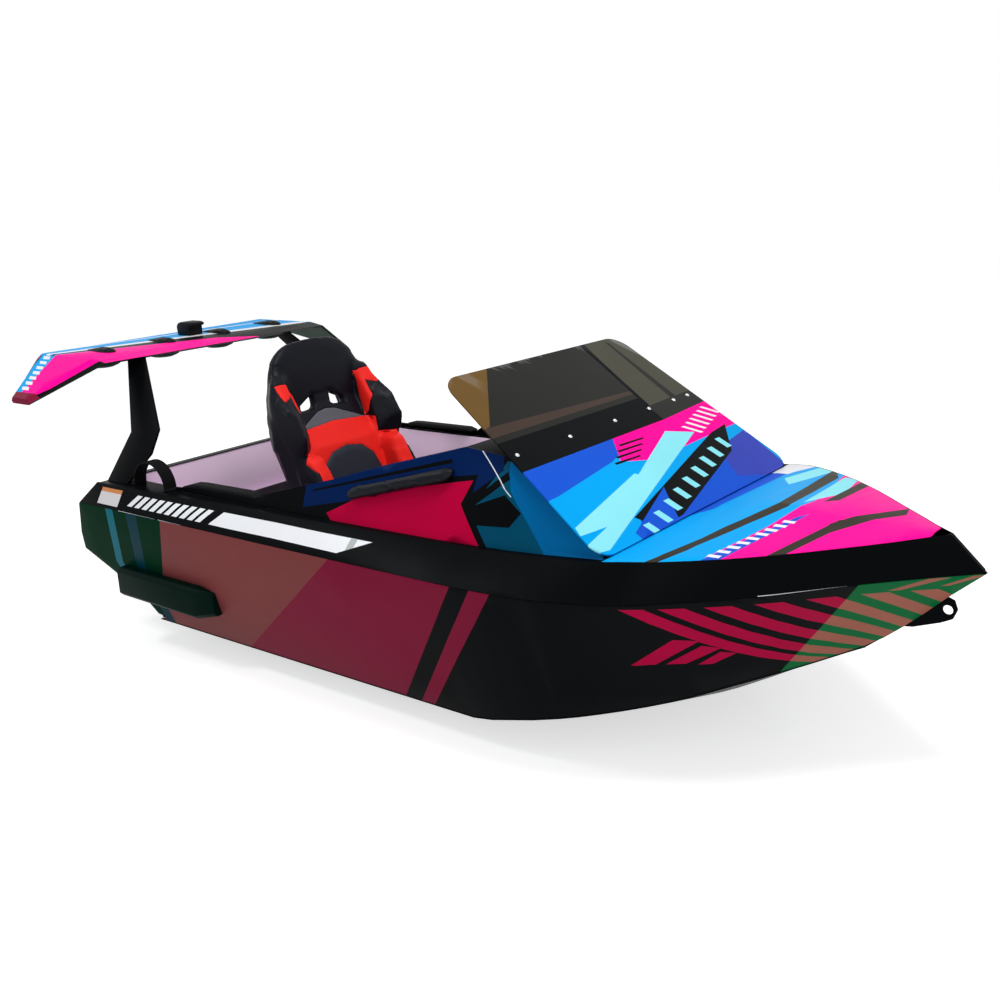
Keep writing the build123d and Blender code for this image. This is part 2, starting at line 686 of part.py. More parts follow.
thigh = xz_prism([(cushion_x, cushion_low), (seat_front - 40, cushion_low),
                  (seat_front - 10, cushion_low + 110), (seat_front - 90, cushion_low + 200),
                  (seat_front - 310, cushion_low + 252), (872, 655), (824, 730), (804, 768),
                  (750, 770)] + thigh_root + [(cushion_x, seat_rest)],
                 bolster_y[0] + seam, bolster_y[1])
nodes["seat_thigh_wings"] = both(thigh)
rail_half = 20.0
nodes["seat_rails"] = [box(cushion_x + 40, seat_front - 50, y - rail_half, y + rail_half,
                           floor_z + plate + fit_gap, cushion_low - fit_gap) for y in (-170, 170)]

# Wing blade: y, front x, rear x, z of the middle of its edge
wing_z = 1160.0
wing_front_x = -8.0
wing_rows = [(-880, -150, -290, wing_z - 130), (-610, wing_front_x, wing_rear_x, wing_z),
             (610, wing_front_x, wing_rear_x, wing_z), (880, -150, -290, wing_z - 130)]
blade_thick = 12.0        # half of the blade's thickness


def wing_section(row):
    y, front, rear, z = row
    bevel = (front - rear) * 0.17
    outline = [(front, z - 3), (front - bevel, z + blade_thick), (rear + bevel * 0.4, z + blade_thick),
               (rear, z - 3), (rear + bevel * 0.4, z - blade_thick), (front - 12, z - blade_thick)]
    return [(x, y, h) for x, h in outline]


nodes["wing_blade"] = ruled([wing_section(row) for row in wing_rows])
wing_under = wing_z - blade_thick
wing_over = wing_z + blade_thick

# Uprights lean inboard as they rise, each with a foot flange on the deck
upright_slope = 0.593
knuckle_z = 600.0
upright_foot = 740.0      # distance from the centreline at the knuckle's height
upright_plate = 14.0


def upright_y(z):
    return upright_foot - upright_slope * (z - knuckle_z)


upright_top = wing_under - fit_gap
upright_base = stern_deck_z + fit_gap
# Upright outline: x, z
upright_line = [(15, upright_base), (150, upright_base), (235, 800), (232, 890), (-24, upright_top),
                (-140, upright_top), (60, 870)]
upright_face = Face(polygon([(x, upright_y(z), z) for x, z in upright_line]))
upright = Solid.extrude(upright_face, Vector(0, -upright_plate, 0))
flange_y = cockpit_half + 2
flange = box(20, 145, flange_y, upright_y(upright_base) - 6, upright_base, upright_base + 6)
gusset_line = [(80, flange_y + 6, upright_base + 6), (80, upright_y(upright_base) - 8, upright_base + 6),
               (80, upright_y(800) - 8, 800)]
gusset = Solid.extrude(Face(polygon(gusset_line)), Vector(6, 0, 0))
nodes["uprights"] = both(upright + flange + gusset)

# Domed pods under the blade, teardrop fairings on it and one hooded lamp
pod_places = (-465.0, -155.0, 155.0, 465.0)
pod_x = -250.0
pod_sides = 20


def pod_ring(y, radius, z):
    angles = [2 * math.pi * k / pod_sides for k in range(pod_sides)]
    return [(pod_x + radius * math.cos(a), y + radius * math.sin(a), z) for a in angles]


# Rings of a pod: radius, depth below the blade
pod_rings = [(90, seam), (86, 16), (70, 33), (44, 43), (16, 46)]
nodes["wing_pods"] = [ruled([pod_ring(y, radius, wing_under - depth) for radius, depth in pod_rings])
                      for y in pod_places]

# Fairing sections, tail first: x from its middle, half width, height
fairing_rows = [(-100, 3, 2), (-45, 16, 11), (15, 27, 20), (60, 27, 20), (84, 18, 12), (92, 9, 4)]


def fairing(y):
    rows = []
    for x, half, height in fairing_rows:
        arch = [(-half, 0), (-0.8 * half, 0.62 * height), (0, height),
                (0.8 * half, 0.62 * height), (half, 0)]
        rows.append([(pod_x + x, y + aside, wing_over + fit_gap + rise) for aside, rise in arch])
    return ruled(rows)


nodes["wing_blisters"] = [fairing(y) for y in pod_places]
lamp_base = wing_over + fit_gap
lamp_y = (15.0, 95.0)
# Lamp outline, rear foot first, with a lip over its lens: x, height
lamp_line = [(-358, 0), (-362, 40), (-352, 56), (-332, 62), (-268, 62), (-250, 55), (-252, 46),
             (-270, 40), (-270, 0)]
nodes["wing_lamp"] = xz_prism([(x, lamp_base + z) for x, z in lamp_line], *lamp_y)


# Fittings
def side_y(x, z):
    """Outer face of a side plate."""
    low, high = line_at(x, 4), line_at(x, 6)
    return lerp(line_at(x, 3), line_at(x, 5), (z - low) / (high - low))


# Side floats, each a bevelled block: x, how far it stands out, bottom, top
sponson_rows = [(90, 46, 232, 322), (112, 80, 218, 340), (600, 80, 212, 336), (672, 40, 224, 318)]
sponson_bevel = 16.0


def sponson_section(row):
    x, reach, low, high = row
    out = side_y(x, low) + reach
    back_low, back_high = side_y(x, low) + seam, side_y(x, high) + seam
    return [(x, back_low, low), (x, back_high, high), (x, out - sponson_bevel, high),
            (x, out, high - sponson_bevel), (x, out, low + sponson_bevel), (x, out - sponson_bevel, low)]


nodes["sponsons"] = both(ruled([sponson_section(row) for row in sponson_rows]))

# Strap handles on the stern deck
strap = 7.0
strap_y = (632.0, 674.0)
strap_feet = (188.0, 393.0)
strap_rise = 108.0
foot_length = 24.0
strap_z = stern_deck_z + seam


def strap_edge(inset):
    """Arch of the strap, foot to foot."""
    low, high = strap_feet
    middle = (low + high) / 2
    return ThreePointArc((low + inset, strap_z + strap), (middle, strap_z + strap_rise - inset),
                         (high - inset, strap_z + strap))


outer, inner = strap_edge(0), strap_edge(strap)
low, high = strap_feet
foot_lines = [Polyline(outer @ 0, (low - foot_length, strap_z + strap), (low - foot_length, strap_z),
                       (low + strap, strap_z), inner @ 0),
              Polyline(outer @ 1, (high + foot_length, strap_z + strap), (high + foot_length, strap_z),
                       (high - strap, strap_z), inner @ 1)]
strap_plane = Plane(origin=(0, strap_y[1], 0), x_dir=(1, 0, 0), z_dir=(0, -1, 0))
handle = plate_on(strap_plane, make_face([outer, inner] + foot_lines), strap_y[1] - strap_y[0])
nodes["grab_handles"] = both(handle.solids()[0])

# Elbow pads on the cowl sides: x, height of the middle, share of full size
pad_rows = [(1370, 790, 0.45), (1395, 797, 0.9), (1520, 829, 1.0), (1700, 877, 1.0), (1785, 899, 0.9),
            (1810, 905, 0.45)]
pad_half_height = 21.0
pad_thick = 40.0


def pad_section(row):
    x, z, share = row
    low, high, thick = z - pad_half_height * share, z + pad_half_height * share, pad_thick * share
    back_low, back_high = cowl_face(x, low) + 0.6, cowl_face(x, high) + 0.6
    return [(x, back_low, low), (x, back_low + thick * 0.7, low), (x, back_high + thick, z - 4),
            (x, back_high + thick * 0.9, z + 10 * share), (x, back_high + thick * 0.4, high),
            (x, back_high, high)]


nodes["elbow_pads"] = both(ruled([pad_section(row) for row in pad_rows]))

# Flat pads on the low coaming beside the seat: x, width inboard of the plate, thickness
coaming_rows = [(478, 12, 5), (530, 56, 16), (570, 56, 16), (870, 56, 16), (902, 50, 6)]


def coaming_section(row):
    x, wide, thick = row
    outer, low = cowl_at(x)[4] + 5, cowl_at(x)[5] + fit_gap
    return [(x, outer - wide, low), (x, outer, low), (x, outer, low + thick * 0.7), (x, outer - 4, low + thick),
            (x, outer - wide + 6, low + thick), (x, outer - wide, low + thick * 0.6)]


nodes["coaming_pads"] = both(ruled([coaming_section(row) for row in coaming_rows]))

# Blank plate on the starboard sheer
label_rows = []
for x in (52, 188):
    label_rows.append([(x, lerp(line_at(x, 5), deck_y(x), t) + out, lerp(line_at(x, 6) + 1, deck_z(x), t))
                       for t, out in ((0.15, 0.5), (0.85, 0.5), (0.85, 2.0), (0.15, 2.0))])
nodes["label_plate"] = ruled(label_rows).mirror(Plane.XZ)

for name, made in nodes.items():
    solids = made if isinstance(made, (list, tuple)) else made.solids()
    moved = [solid.moved(Location((shift_x, 0, 0))) for solid in solids]
    shape = moved[0] if len(moved) == 1 else Compound(moved)
    export_step(shape, f"parts/{name}.step")
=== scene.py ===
import json
import math
import bmesh
import bpy
from mathutils import Matrix, Vector
from mathutils.bvhtree import BVHTree

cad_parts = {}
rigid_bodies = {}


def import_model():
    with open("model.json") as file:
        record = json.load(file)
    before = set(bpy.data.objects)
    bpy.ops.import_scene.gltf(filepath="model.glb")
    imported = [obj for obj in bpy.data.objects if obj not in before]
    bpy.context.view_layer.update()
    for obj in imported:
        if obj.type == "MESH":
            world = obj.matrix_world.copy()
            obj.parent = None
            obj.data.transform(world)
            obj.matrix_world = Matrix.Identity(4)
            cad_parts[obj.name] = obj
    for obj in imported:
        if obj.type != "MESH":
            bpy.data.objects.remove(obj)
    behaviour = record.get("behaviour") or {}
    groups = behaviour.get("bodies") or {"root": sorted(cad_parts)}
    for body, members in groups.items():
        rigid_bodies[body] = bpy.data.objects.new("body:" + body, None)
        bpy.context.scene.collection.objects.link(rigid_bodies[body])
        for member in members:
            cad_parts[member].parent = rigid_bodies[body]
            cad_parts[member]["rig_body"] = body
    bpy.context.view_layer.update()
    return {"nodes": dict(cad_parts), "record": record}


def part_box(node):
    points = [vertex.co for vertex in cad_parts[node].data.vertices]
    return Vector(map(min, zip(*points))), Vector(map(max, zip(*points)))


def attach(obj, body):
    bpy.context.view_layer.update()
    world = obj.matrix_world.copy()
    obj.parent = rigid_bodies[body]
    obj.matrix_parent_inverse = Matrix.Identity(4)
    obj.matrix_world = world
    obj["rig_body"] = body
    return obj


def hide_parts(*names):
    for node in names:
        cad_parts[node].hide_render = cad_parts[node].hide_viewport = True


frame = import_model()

# A one-seat jet boat: wrapped aluminium hull, bucket seat, raked smoked screen and a rear wing.
# Lengths are in metres. x in the tables is measured from the stern deck's corner, as in the part.
nodes = frame["nodes"]
bowFromCorner = 3.3                # bow tip ahead of the stern deck's corner
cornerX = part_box("stem_bar")[1][0] - bowFromCorner
sides = (("starboard", -1), ("port", 1))
hands = (-1, 1)
forward = Vector((1, 0, 0))
upward = Vector((0, 0, 1))


# Camera, stage and light
view = {
    "azimuth": 38.44,
    "elevation": 15.726,
    "roll": -2.764,
    "distance": 4.348,
    "lookAt": (1.514, 0.021, 0.623),
    "lens": 40.88,
    "sensor": 36.0,
}


def addCamera():
    camera = bpy.data.objects.new("camera", bpy.data.cameras.new("camera"))
    bpy.context.collection.objects.link(camera)
    camera.data.lens = view["lens"]
    camera.data.sensor_width = view["sensor"]
    turn = (Matrix.Rotation(math.radians(view["azimuth"]), 4, "Z")
            @ Matrix.Rotation(math.radians(90 - view["elevation"]), 4, "X")
            @ Matrix.Rotation(math.radians(view["roll"]), 4, "Z"))
    target = Vector(view["lookAt"]) + Vector((cornerX, 0, 0))
    camera.matrix_world = Matrix.Translation(target + turn @ Vector((0, 0, view["distance"]))) @ turn
    bpy.context.scene.camera = camera


stage = {
    "size": 40.0,
    "floorColour": (0.8, 0.8, 0.8),
    "floorGlow": 0.62,             # seen, never lit by: the floor reads white
    "skyColour": (0.95, 0.97, 1.0),
    "skyStrength": 0.5,
}

# Lights: name, place, aim, size, power, colour
lamps = [
    ("keyLight", (1.5, -0.5, 4.8), (0.1, 0, 0.5), 1.8, 125, (1.0, 0.98, 0.95)),
    ("fillLight", (3.0, -4.4, 2.0), (0, 0, 0.5), 3.0, 42, (0.97, 0.98, 1.0)),
    ("sternLight", (-2.4, -2.2, 3.6), (-0.7, 0, 0.8), 0.8, 34, (1.0, 1.0, 1.0)),
]


def addLights():
    for name, place, aim, size, power, colour in lamps:
        data = bpy.data.lights.new(name, "AREA")
        data.shape = "DISK"
        data.size = size
        data.energy = power
        data.color = colour
        lamp = bpy.data.objects.new(name, data)
        bpy.context.collection.objects.link(lamp)
        lamp.location = place
        lamp.rotation_euler = (Vector(aim) - Vector(place)).to_track_quat("-Z", "Y").to_euler()


# 1 for rays by which the background is seen
def addSeen(tree):
    path = tree.nodes.new("ShaderNodeLightPath")
    total = path.outputs["Is Camera Ray"]
    for kind in ("Is Glossy Ray", "Is Transmission Ray"):
        higher = tree.nodes.new("ShaderNodeMath")
        higher.operation = "MAXIMUM"
        tree.links.new(total, higher.inputs[0])
        tree.links.new(path.outputs[kind], higher.inputs[1])
        total = higher.outputs[0]
    return total


def addWorld():
    world = bpy.data.worlds.new("studio")
    bpy.context.scene.world = world
    world.use_nodes = True
    tree = world.node_tree
    tree.nodes.clear()
    seen = addSeen(tree)
    soft = tree.nodes.new("ShaderNodeBackground")
    soft.inputs["Color"].default_value = (*stage["skyColour"], 1)
    soft.inputs["Strength"].default_value = stage["skyStrength"]
    white = tree.nodes.new("ShaderNodeBackground")
    white.inputs["Color"].default_value = (1, 1, 1, 1)
    shown = tree.nodes.new("ShaderNodeMixShader")
    tree.links.new(seen, shown.inputs[0])
    tree.links.new(soft.outputs[0], shown.inputs[1])
    tree.links.new(white.outputs[0], shown.inputs[2])
    out = tree.nodes.new("ShaderNodeOutputWorld")
    tree.links.new(shown.outputs[0], out.inputs["Surface"])


def addFloor():
    shape = bmesh.new()
    bmesh.ops.create_grid(shape, x_segments=1, y_segments=1, size=stage["size"] / 2)
    mesh = bpy.data.meshes.new("floorStage")
    shape.to_mesh(mesh)
    shape.free()
    ground = bpy.data.objects.new("floorStage", mesh)
    bpy.context.collection.objects.link(ground)
    paint = bpy.data.materials.new("floorPaint")
    paint.use_nodes = True
    tree = paint.node_tree
    skin = tree.nodes["Principled BSDF"]
    skin.inputs["Base Color"].default_value = (*stage["floorColour"], 1)
    skin.inputs["Roughness"].default_value = 1.0
    skin.inputs["Specular IOR Level"].default_value = 0.0
    skin.inputs["Emission Color"].default_value = (1, 1, 1, 1)
    glow = tree.nodes.new("ShaderNodeMath")
    glow.operation = "MULTIPLY"
    glow.inputs[1].default_value = stage["floorGlow"]
    tree.links.new(addSeen(tree), glow.inputs[0])
    tree.links.new(glow.outputs[0], skin.inputs["Emission Strength"])
    mesh.materials.append(paint)


addCamera()
addLights()
addWorld()
addFloor()
bpy.context.scene.view_settings.view_transform = "Standard"
print("camera, lights and floor ready")


# Linear colour from display values of 0 to 255
def ink(red, green, blue):
    shown = [value / 255 for value in (red, green, blue)]
    return tuple(v / 12.92 if v <= 0.04 else ((v + 0.055) / 1.055) ** 2.4 for v in shown)


# Surface groups: each gives a colour, a roughness and a normal by these sockets: name, type, side
groupSockets = (
    ("Colour", "NodeSocketColor", "INPUT"),
    ("Roughness", "NodeSocketFloat", "INPUT"),
    ("Colour", "NodeSocketColor", "OUTPUT"),
    ("Roughness", "NodeSocketFloat", "OUTPUT"),
    ("Normal", "NodeSocketVector", "OUTPUT"),
)


def newGroup(name):
    group = bpy.data.node_groups.new(name, "ShaderNodeTree")
    for label, kind, side in groupSockets:
        group.interface.new_socket(label, in_out=side, socket_type=kind)
    return group, group.nodes.new("NodeGroupInput"), group.nodes.new("NodeGroupOutput")


def addNoise(group, scale, detail, stretch=(1, 1, 1)):
    place = group.nodes.new("ShaderNodeTexCoord")
    mapping = group.nodes.new("ShaderNodeMapping")
    mapping.inputs["Scale"].default_value = stretch
    noise = group.nodes.new("ShaderNodeTexNoise")
    noise.inputs["Scale"].default_value = scale
    noise.inputs["Detail"].default_value = detail
    group.links.new(place.outputs["Object"], mapping.inputs["Vector"])
    group.links.new(mapping.outputs["Vector"], noise.inputs["Vector"])
    return noise.outputs["Fac"]


# Value of 0 to 1 turned into low to high
def addRange(group, value, low, high):
    remap = group.nodes.new("ShaderNodeMapRange")
    remap.inputs["To Min"].default_value = low
    remap.inputs["To Max"].default_value = high
    group.links.new(value, remap.inputs["Value"])
    return remap.outputs["Result"]


def addShade(group, colour, factor):
    mix = group.nodes.new("ShaderNodeMix")
    mix.data_type = "RGBA"
    mix.blend_type = "MULTIPLY"
    mix.inputs["Factor"].default_value = 1.0
    group.links.new(colour, mix.inputs["A"])
    group.links.new(factor, mix.inputs["B"])
    return mix.outputs["Result"]


def addProduct(group, a, b):
    times = group.nodes.new("ShaderNodeMath")
    times.operation = "MULTIPLY"
    group.links.new(a, times.inputs[0])
    group.links.new(b, times.inputs[1])
    return times.outputs[0]


def addBump(group, height, distance, strength=1.0, under=None):
    bump = group.nodes.new("ShaderNodeBump")
    bump.inputs["Distance"].default_value = distance
    bump.inputs["Strength"].default_value = strength
    group.links.new(height, bump.inputs["Height"])
    if under:
        group.links.new(under, bump.inputs["Normal"])
    return bump.outputs["Normal"]


# Colour and roughness each multiplied by a range that follows a mask
def addTone(group, given, out, mask, shade):
    toned = addShade(group, given.outputs["Colour"], addRange(group, mask, *shade))
    group.links.new(toned, out.inputs["Colour"])


def addWear(group, given, out, mask, wear):
    worn = addProduct(group, given.outputs["Roughness"], addRange(group, mask, *wear))
    group.links.new(worn, out.inputs["Roughness"])


# Values of a surface: noises are scale and detail, ranges are lowest and highest share
film = {"dust": (2.2, 6), "shade": (0.86, 1.08), "wear": (0.75, 1.3), "wave": (7, 2), "waveDepth": 0.0012,
        "grain": (160, 2), "grainDepth": 0.00004}


# Vinyl film over plate: a slow waviness, and dust in patches
def makeFilm():
    group, given, out = newGroup("filmSurface")
    dust = addNoise(group, *film["dust"])
    addTone(group, given, out, dust, film["shade"])
    addWear(group, given, out, dust, film["wear"])
    wave = addBump(group, addNoise(group, *film["wave"]), film["waveDepth"])
    fine = addBump(group, addNoise(group, *film["grain"]), film["grainDepth"], under=wave)
    group.links.new(fine, out.inputs["Normal"])
    return group


clear = {"dust": (5, 8), "shade": (0.8, 1.2), "wear": (0.6, 1.6)}


# Polished acrylic: flat, with faint dust
def makeClear():
    group, given, out = newGroup("clearSurface")
    dust = addNoise(group, *clear["dust"])
    addTone(group, given, out, dust, clear["shade"])
    addWear(group, given, out, dust, clear["wear"])
    group.links.new(group.nodes.new("ShaderNodeNewGeometry").outputs["Normal"], out.inputs["Normal"])
    return group


leather = {"pebbles": 420, "pebbleDepth": 0.0006, "crease": (16, 4, (1, 1, 1.6)), "creaseDepth": 0.002,
           "strength": 0.6, "tone": (5, 3), "shade": (0.9, 1.1), "wear": (0.8, 1.2)}


# Fine pebbled grain over soft creases
def makeLeather():
    group, given, out = newGroup("leatherSurface")
    place = group.nodes.new("ShaderNodeTexCoord")
    pebbles = group.nodes.new("ShaderNodeTexVoronoi")
    pebbles.inputs["Scale"].default_value = leather["pebbles"]
    group.links.new(place.outputs["Object"], pebbles.inputs["Vector"])
    crease = addNoise(group, *leather["crease"])
    addTone(group, given, out, addNoise(group, *leather["tone"]), leather["shade"])
    addWear(group, given, out, crease, leather["wear"])
    soft = addBump(group, crease, leather["creaseDepth"], leather["strength"])
    fine = addBump(group, pebbles.outputs["Distance"], leather["pebbleDepth"], leather["strength"], soft)
    group.links.new(fine, out.inputs["Normal"])
    return group


brushed = {"lines": (60, 3, (0.15, 4, 4)), "depth": 0.0002, "shade": (0.85, 1.1), "wear": (0.8, 1.3)}


# Sheet aluminium with fine lines along the boat
def makeBrushed():
    group, given, out = newGroup("brushedSurface")
    lines = addNoise(group, *brushed["lines"])
    addTone(group, given, out, lines, brushed["shade"])
    addWear(group, given, out, lines, brushed["wear"])
    group.links.new(addBump(group, lines, brushed["depth"]), out.inputs["Normal"])
    return group


moulded = {"grain": (700, 2), "depth": 0.0005, "strength": 0.5, "tone": (9, 4), "shade": (0.8, 1.2)}


# Moulded plastic or rubber with a fine grain
def makeMoulded():
    group, given, out = newGroup("mouldedSurface")
    addTone(group, given, out, addNoise(group, *moulded["tone"]), moulded["shade"])
    group.links.new(given.outputs["Roughness"], out.inputs["Roughness"])
    grain = addBump(group, addNoise(group, *moulded["grain"]), moulded["depth"], moulded["strength"])
    group.links.new(grain, out.inputs["Normal"])
    return group


woven = {"ribs": 130, "unevenness": 1.5, "depth": 0.0008, "shade": (0.6, 1.2)}


# Webbing: ribs across the strap
def makeWoven():
    group, given, out = newGroup("wovenSurface")
    place = group.nodes.new("ShaderNodeTexCoord")
    ribs = group.nodes.new("ShaderNodeTexWave")
    ribs.bands_direction = "Y"
    ribs.inputs["Scale"].default_value = woven["ribs"]
    ribs.inputs["Distortion"].default_value = woven["unevenness"]
    group.links.new(place.outputs["Object"], ribs.inputs["Vector"])
    addTone(group, given, out, ribs.outputs["Fac"], woven["shade"])
    group.links.new(given.outputs["Roughness"], out.inputs["Roughness"])
    group.links.new(addBump(group, ribs.outputs["Fac"], woven["depth"]), out.inputs["Normal"])
    return group


surfaces = {
    "film": makeFilm(),
    "clear": makeClear(),
    "leather": makeLeather(),
    "brushed": makeBrushed(),
    "moulded": makeMoulded(),
    "woven": makeWoven(),
}

# Finishes: surface, colour, roughness, metallic, specular level, alpha
finishes = {
    "filmBlack": ("film", ink(6, 8, 10), 0.34, 0, 0.02, 1),
    "filmWhite": ("film", ink(226, 228, 232), 0.34, 0, 0.05, 1),
    "filmGrey": ("film", ink(168, 174, 174), 0.34, 0, 0.05, 1),
    # Rose: magenta film with a painted reflection of the surroundings
    "filmRose": ("film", ink(124, 60, 60), 0.34, 0, 0.03, 1),
    # Crimson and bow red: magenta film drawn darker, painted shade where it faces away from the light
    "filmCrimson": ("film", ink(122, 18, 50), 0.34, 0, 0.03, 1),
    # Red: magenta film with painted shade, for the cowl's side
    "filmRed": ("film", ink(182, 0, 56), 0.34, 0, 0.03, 1),
    "filmBowRed": ("film", ink(174, 0, 60), 0.34, 0, 0.03, 1),
    # Bow rose and bow green: painted reflection of the bright ground in the flared bow, over the stripes
    # and over the black film
    "filmBowRose": ("film", ink(164, 100, 84), 0.34, 0, 0.03, 1),
    "filmBowGreen": ("film", ink(2, 104, 54), 0.34, 0, 0.03, 1),
    # Stern green: black film with a painted green reflection of the surroundings
    "filmSternGreen": ("film", ink(0, 44, 26), 0.45, 0, 0.01, 1),
    "filmTeal": ("film", ink(0, 106, 122), 0.34, 0, 0.03, 1),
    # Deep teal: teal film with painted shade
    "filmDeepTeal": ("film", ink(0, 70, 98), 0.34, 0, 0.03, 1),
    "filmDusk": ("film", ink(0, 54, 66), 0.34, 0, 0.02, 1),
    # Navy: blue film with painted shade
    "filmNavy": ("film", ink(0, 28, 76), 0.34, 0, 0.03, 1),
    "filmOcean": ("film", ink(0, 92, 148), 0.34, 0, 0.03, 1),
    "filmMagenta": ("film", ink(255, 0, 148), 0.38, 0, 0.02, 1),
    "filmCyan": ("film", ink(0, 158, 230), 0.38, 0, 0.02, 1),
    "filmMint": ("film", ink(136, 222, 232), 0.38, 0, 0.02, 1),
    "filmRoyal": ("film", ink(24, 82, 200), 0.38, 0, 0.02, 1),
    "filmOlive": ("film", ink(50, 46, 38), 0.38, 0, 0.02, 1),
    "smoke": ("clear", ink(27, 27, 25), 0.07, 0, 0.05, 0.994),
    # Smoke with painted light: brown where the background shows through, a lit strip, a lit olive far
    # corner, and a painted blue reflection
    "smokeBrown": ("clear", ink(98, 72, 30), 0.07, 0, 0.05, 0.985),
    "smokeStrip": ("clear", ink(60, 46, 40), 0.07, 0, 0.05, 0.994),
    "smokeOlive": ("clear", ink(58, 57, 44), 0.07, 0, 0.08, 0.99),
    "smokeBlue": ("clear", ink(44, 60, 172), 0.07, 0, 0.05, 0.985),
    "plateBlack": ("film", ink(10, 11, 13), 0.4, 0, 0.025, 1),
    "lining": ("film", ink(238, 212, 236), 0.5, 0, 0.05, 1),
    "leatherBlack": ("leather", ink(14, 16, 24), 0.34, 0, 0.1, 1),
    "leatherSlate": ("leather", ink(40, 45, 56), 0.5, 0, 0.12, 1),
    "leatherGrey": ("leather", ink(90, 90, 98), 0.5, 0, 0.12, 1),
    "leatherRed": ("leather", ink(240, 40, 34), 0.46, 0, 0.1, 1),
    "mouldedBlack": ("moulded", ink(13, 14, 16), 0.45, 0, 0.08, 1),
    # Moulded green: black moulding with a painted green reflection
    "mouldedGreen": ("moulded", ink(2, 24, 18), 0.45, 0, 0.03, 1),
    "rubberBlack": ("moulded", ink(17, 18, 19), 0.65, 0, 0.05, 1),
    "webbing": ("woven", ink(17, 17, 19), 0.75, 0, 0.05, 1),
    "aluminium": ("brushed", (0.72, 0.73, 0.75), 0.34, 1, 0.5, 1),
    "steel": ("brushed", (0.75, 0.75, 0.76), 0.22, 1, 0.5, 1),
    "engineGrey": ("moulded", ink(70, 72, 76), 0.45, 0.6, 0.5, 1),
    "labelWhite": ("film", ink(206, 202, 204), 0.45, 0, 0.2, 1),
    "labelOrange": ("film", ink(196, 124, 70), 0.45, 0, 0.2, 1),
}


def makeFinish(name):
    kind, colour, rough, metal, specular, alpha = finishes[name]
    finish = bpy.data.materials.new(name)
    finish.use_nodes = True
    tree = finish.node_tree
    skin = tree.nodes["Principled BSDF"]
    surface = tree.nodes.new("ShaderNodeGroup")
    surface.node_tree = surfaces[kind]
    surface.inputs["Colour"].default_value = (*colour, 1)
    surface.inputs["Roughness"].default_value = rough
    tree.links.new(surface.outputs["Colour"], skin.inputs["Base Color"])
    tree.links.new(surface.outputs["Roughness"], skin.inputs["Roughness"])
    tree.links.new(surface.outputs["Normal"], skin.inputs["Normal"])
    skin.inputs["Metallic"].default_value = metal
    skin.inputs["Specular IOR Level"].default_value = specular
    skin.inputs["Alpha"].default_value = alpha
    return finish


made = {name: makeFinish(name) for name in finishes}
print("finishes ready", len(made))

# CAD nodes that keep their mesh: finish by the record's slot
slotFinish = {
    "wrap_black": "filmBlack",
    # The side film's magenta drawn crimson: painted shade
    "wrap_side": "filmCrimson",
    "wrap_deck": "filmMagenta",
    # The cowl film's magenta drawn red: painted shade
    "wrap_cowl": "filmRed",
    "wrap_wing": "filmMagenta",
    "black_plate": "plateBlack",
    "aluminium": "aluminium",
    "lining": "lining",
    "smoked_acrylic": "smoke",
    "leather_red": "leatherRed",
    "leather_black": "leatherBlack",
    "wheel_grip": "leatherBlack",
    "floor_mat": "rubberBlack",
    "cast_metal": "engineGrey",
    "steel": "steel",
    "webbing": "webbing",
    "label": "labelWhite",
}
slotOf = {row["node"]: row["material_slot"] for row in frame["record"]["subparts"]}
for name, part in nodes.items():
    finish = made[slotFinish.get(slotOf[name], "mouldedBlack")]
    part.data.materials.clear()
    part.data.materials.append(finish)


# Copies of CAD nodes, merged and cut
weld = 0.00002                     # points closer than this are merged
cutWithin = 1e-6                   # a cut that passes a point this closely goes through it


# One shape with the merged meshes of these CAD nodes
def copied(*names):
    shape = bmesh.new()
    for name in names:
        shape.from_mesh(nodes[name].data)
    bmesh.ops.remove_doubles(shape, verts=shape.verts[:], dist=weld)
    for face in shape.faces:
        face.material_index = 0
    return shape


# Rounds the edges that turn by more than the angle in degrees
def bevelled(shape, width, segments=2, sharpest=35):
    turning = [edge for edge in shape.edges
               if len(edge.link_faces) == 2 and edge.calc_face_angle() > math.radians(sharpest)]
    bmesh.ops.bevel(shape, geom=turning, offset=width, segments=segments, profile=0.5, affect="EDGES",
                    material=-1, clamp_overlap=True)


# Where a drawn outline lies in the frame, and the direction in which it is seen
lifts = {
    "side": (lambda a, b: Vector((a + cornerX, 0, b)), Vector((0, 1, 0))),
    "top": (lambda a, b: Vector((a + cornerX, b, 0)), upward),
    "front": (lambda a, b: Vector((0, a, b)), forward),
}


# Cuts the faces along a convex outline and gives those inside it the slot's finish
def inlay(shape, seenFrom, corners, slot, toward=None, least=0.03, where=None):
    lift, through = lifts[seenFrom]
    ring = [lift(*corner) for corner in corners]
    middle = sum(ring, Vector()) / len(ring)
    inside = [face for face in shape.faces if (toward is None or face.normal.dot(toward) > least)
              and (where is None or where(face))]
    for start, end in zip(ring, ring[1:] + ring[:1]):
        outward = (end - start).cross(through)
        if outward.dot(middle - start) > 0:
            outward = -outward
        outward.normalize()
        touched = set(inside)
        for face in inside:
            touched.update(face.edges)
            touched.update(face.verts)
        cut = bmesh.ops.bisect_plane(shape, geom=list(touched), plane_co=start, plane_no=outward,
                                     dist=cutWithin)
        inside = [item for item in cut["geom"] if isinstance(item, bmesh.types.BMFace)
                  and (item.calc_center_median() - start).dot(outward) < 0]
        if not inside:
            return
    for face in inside:
        face.material_index = slot


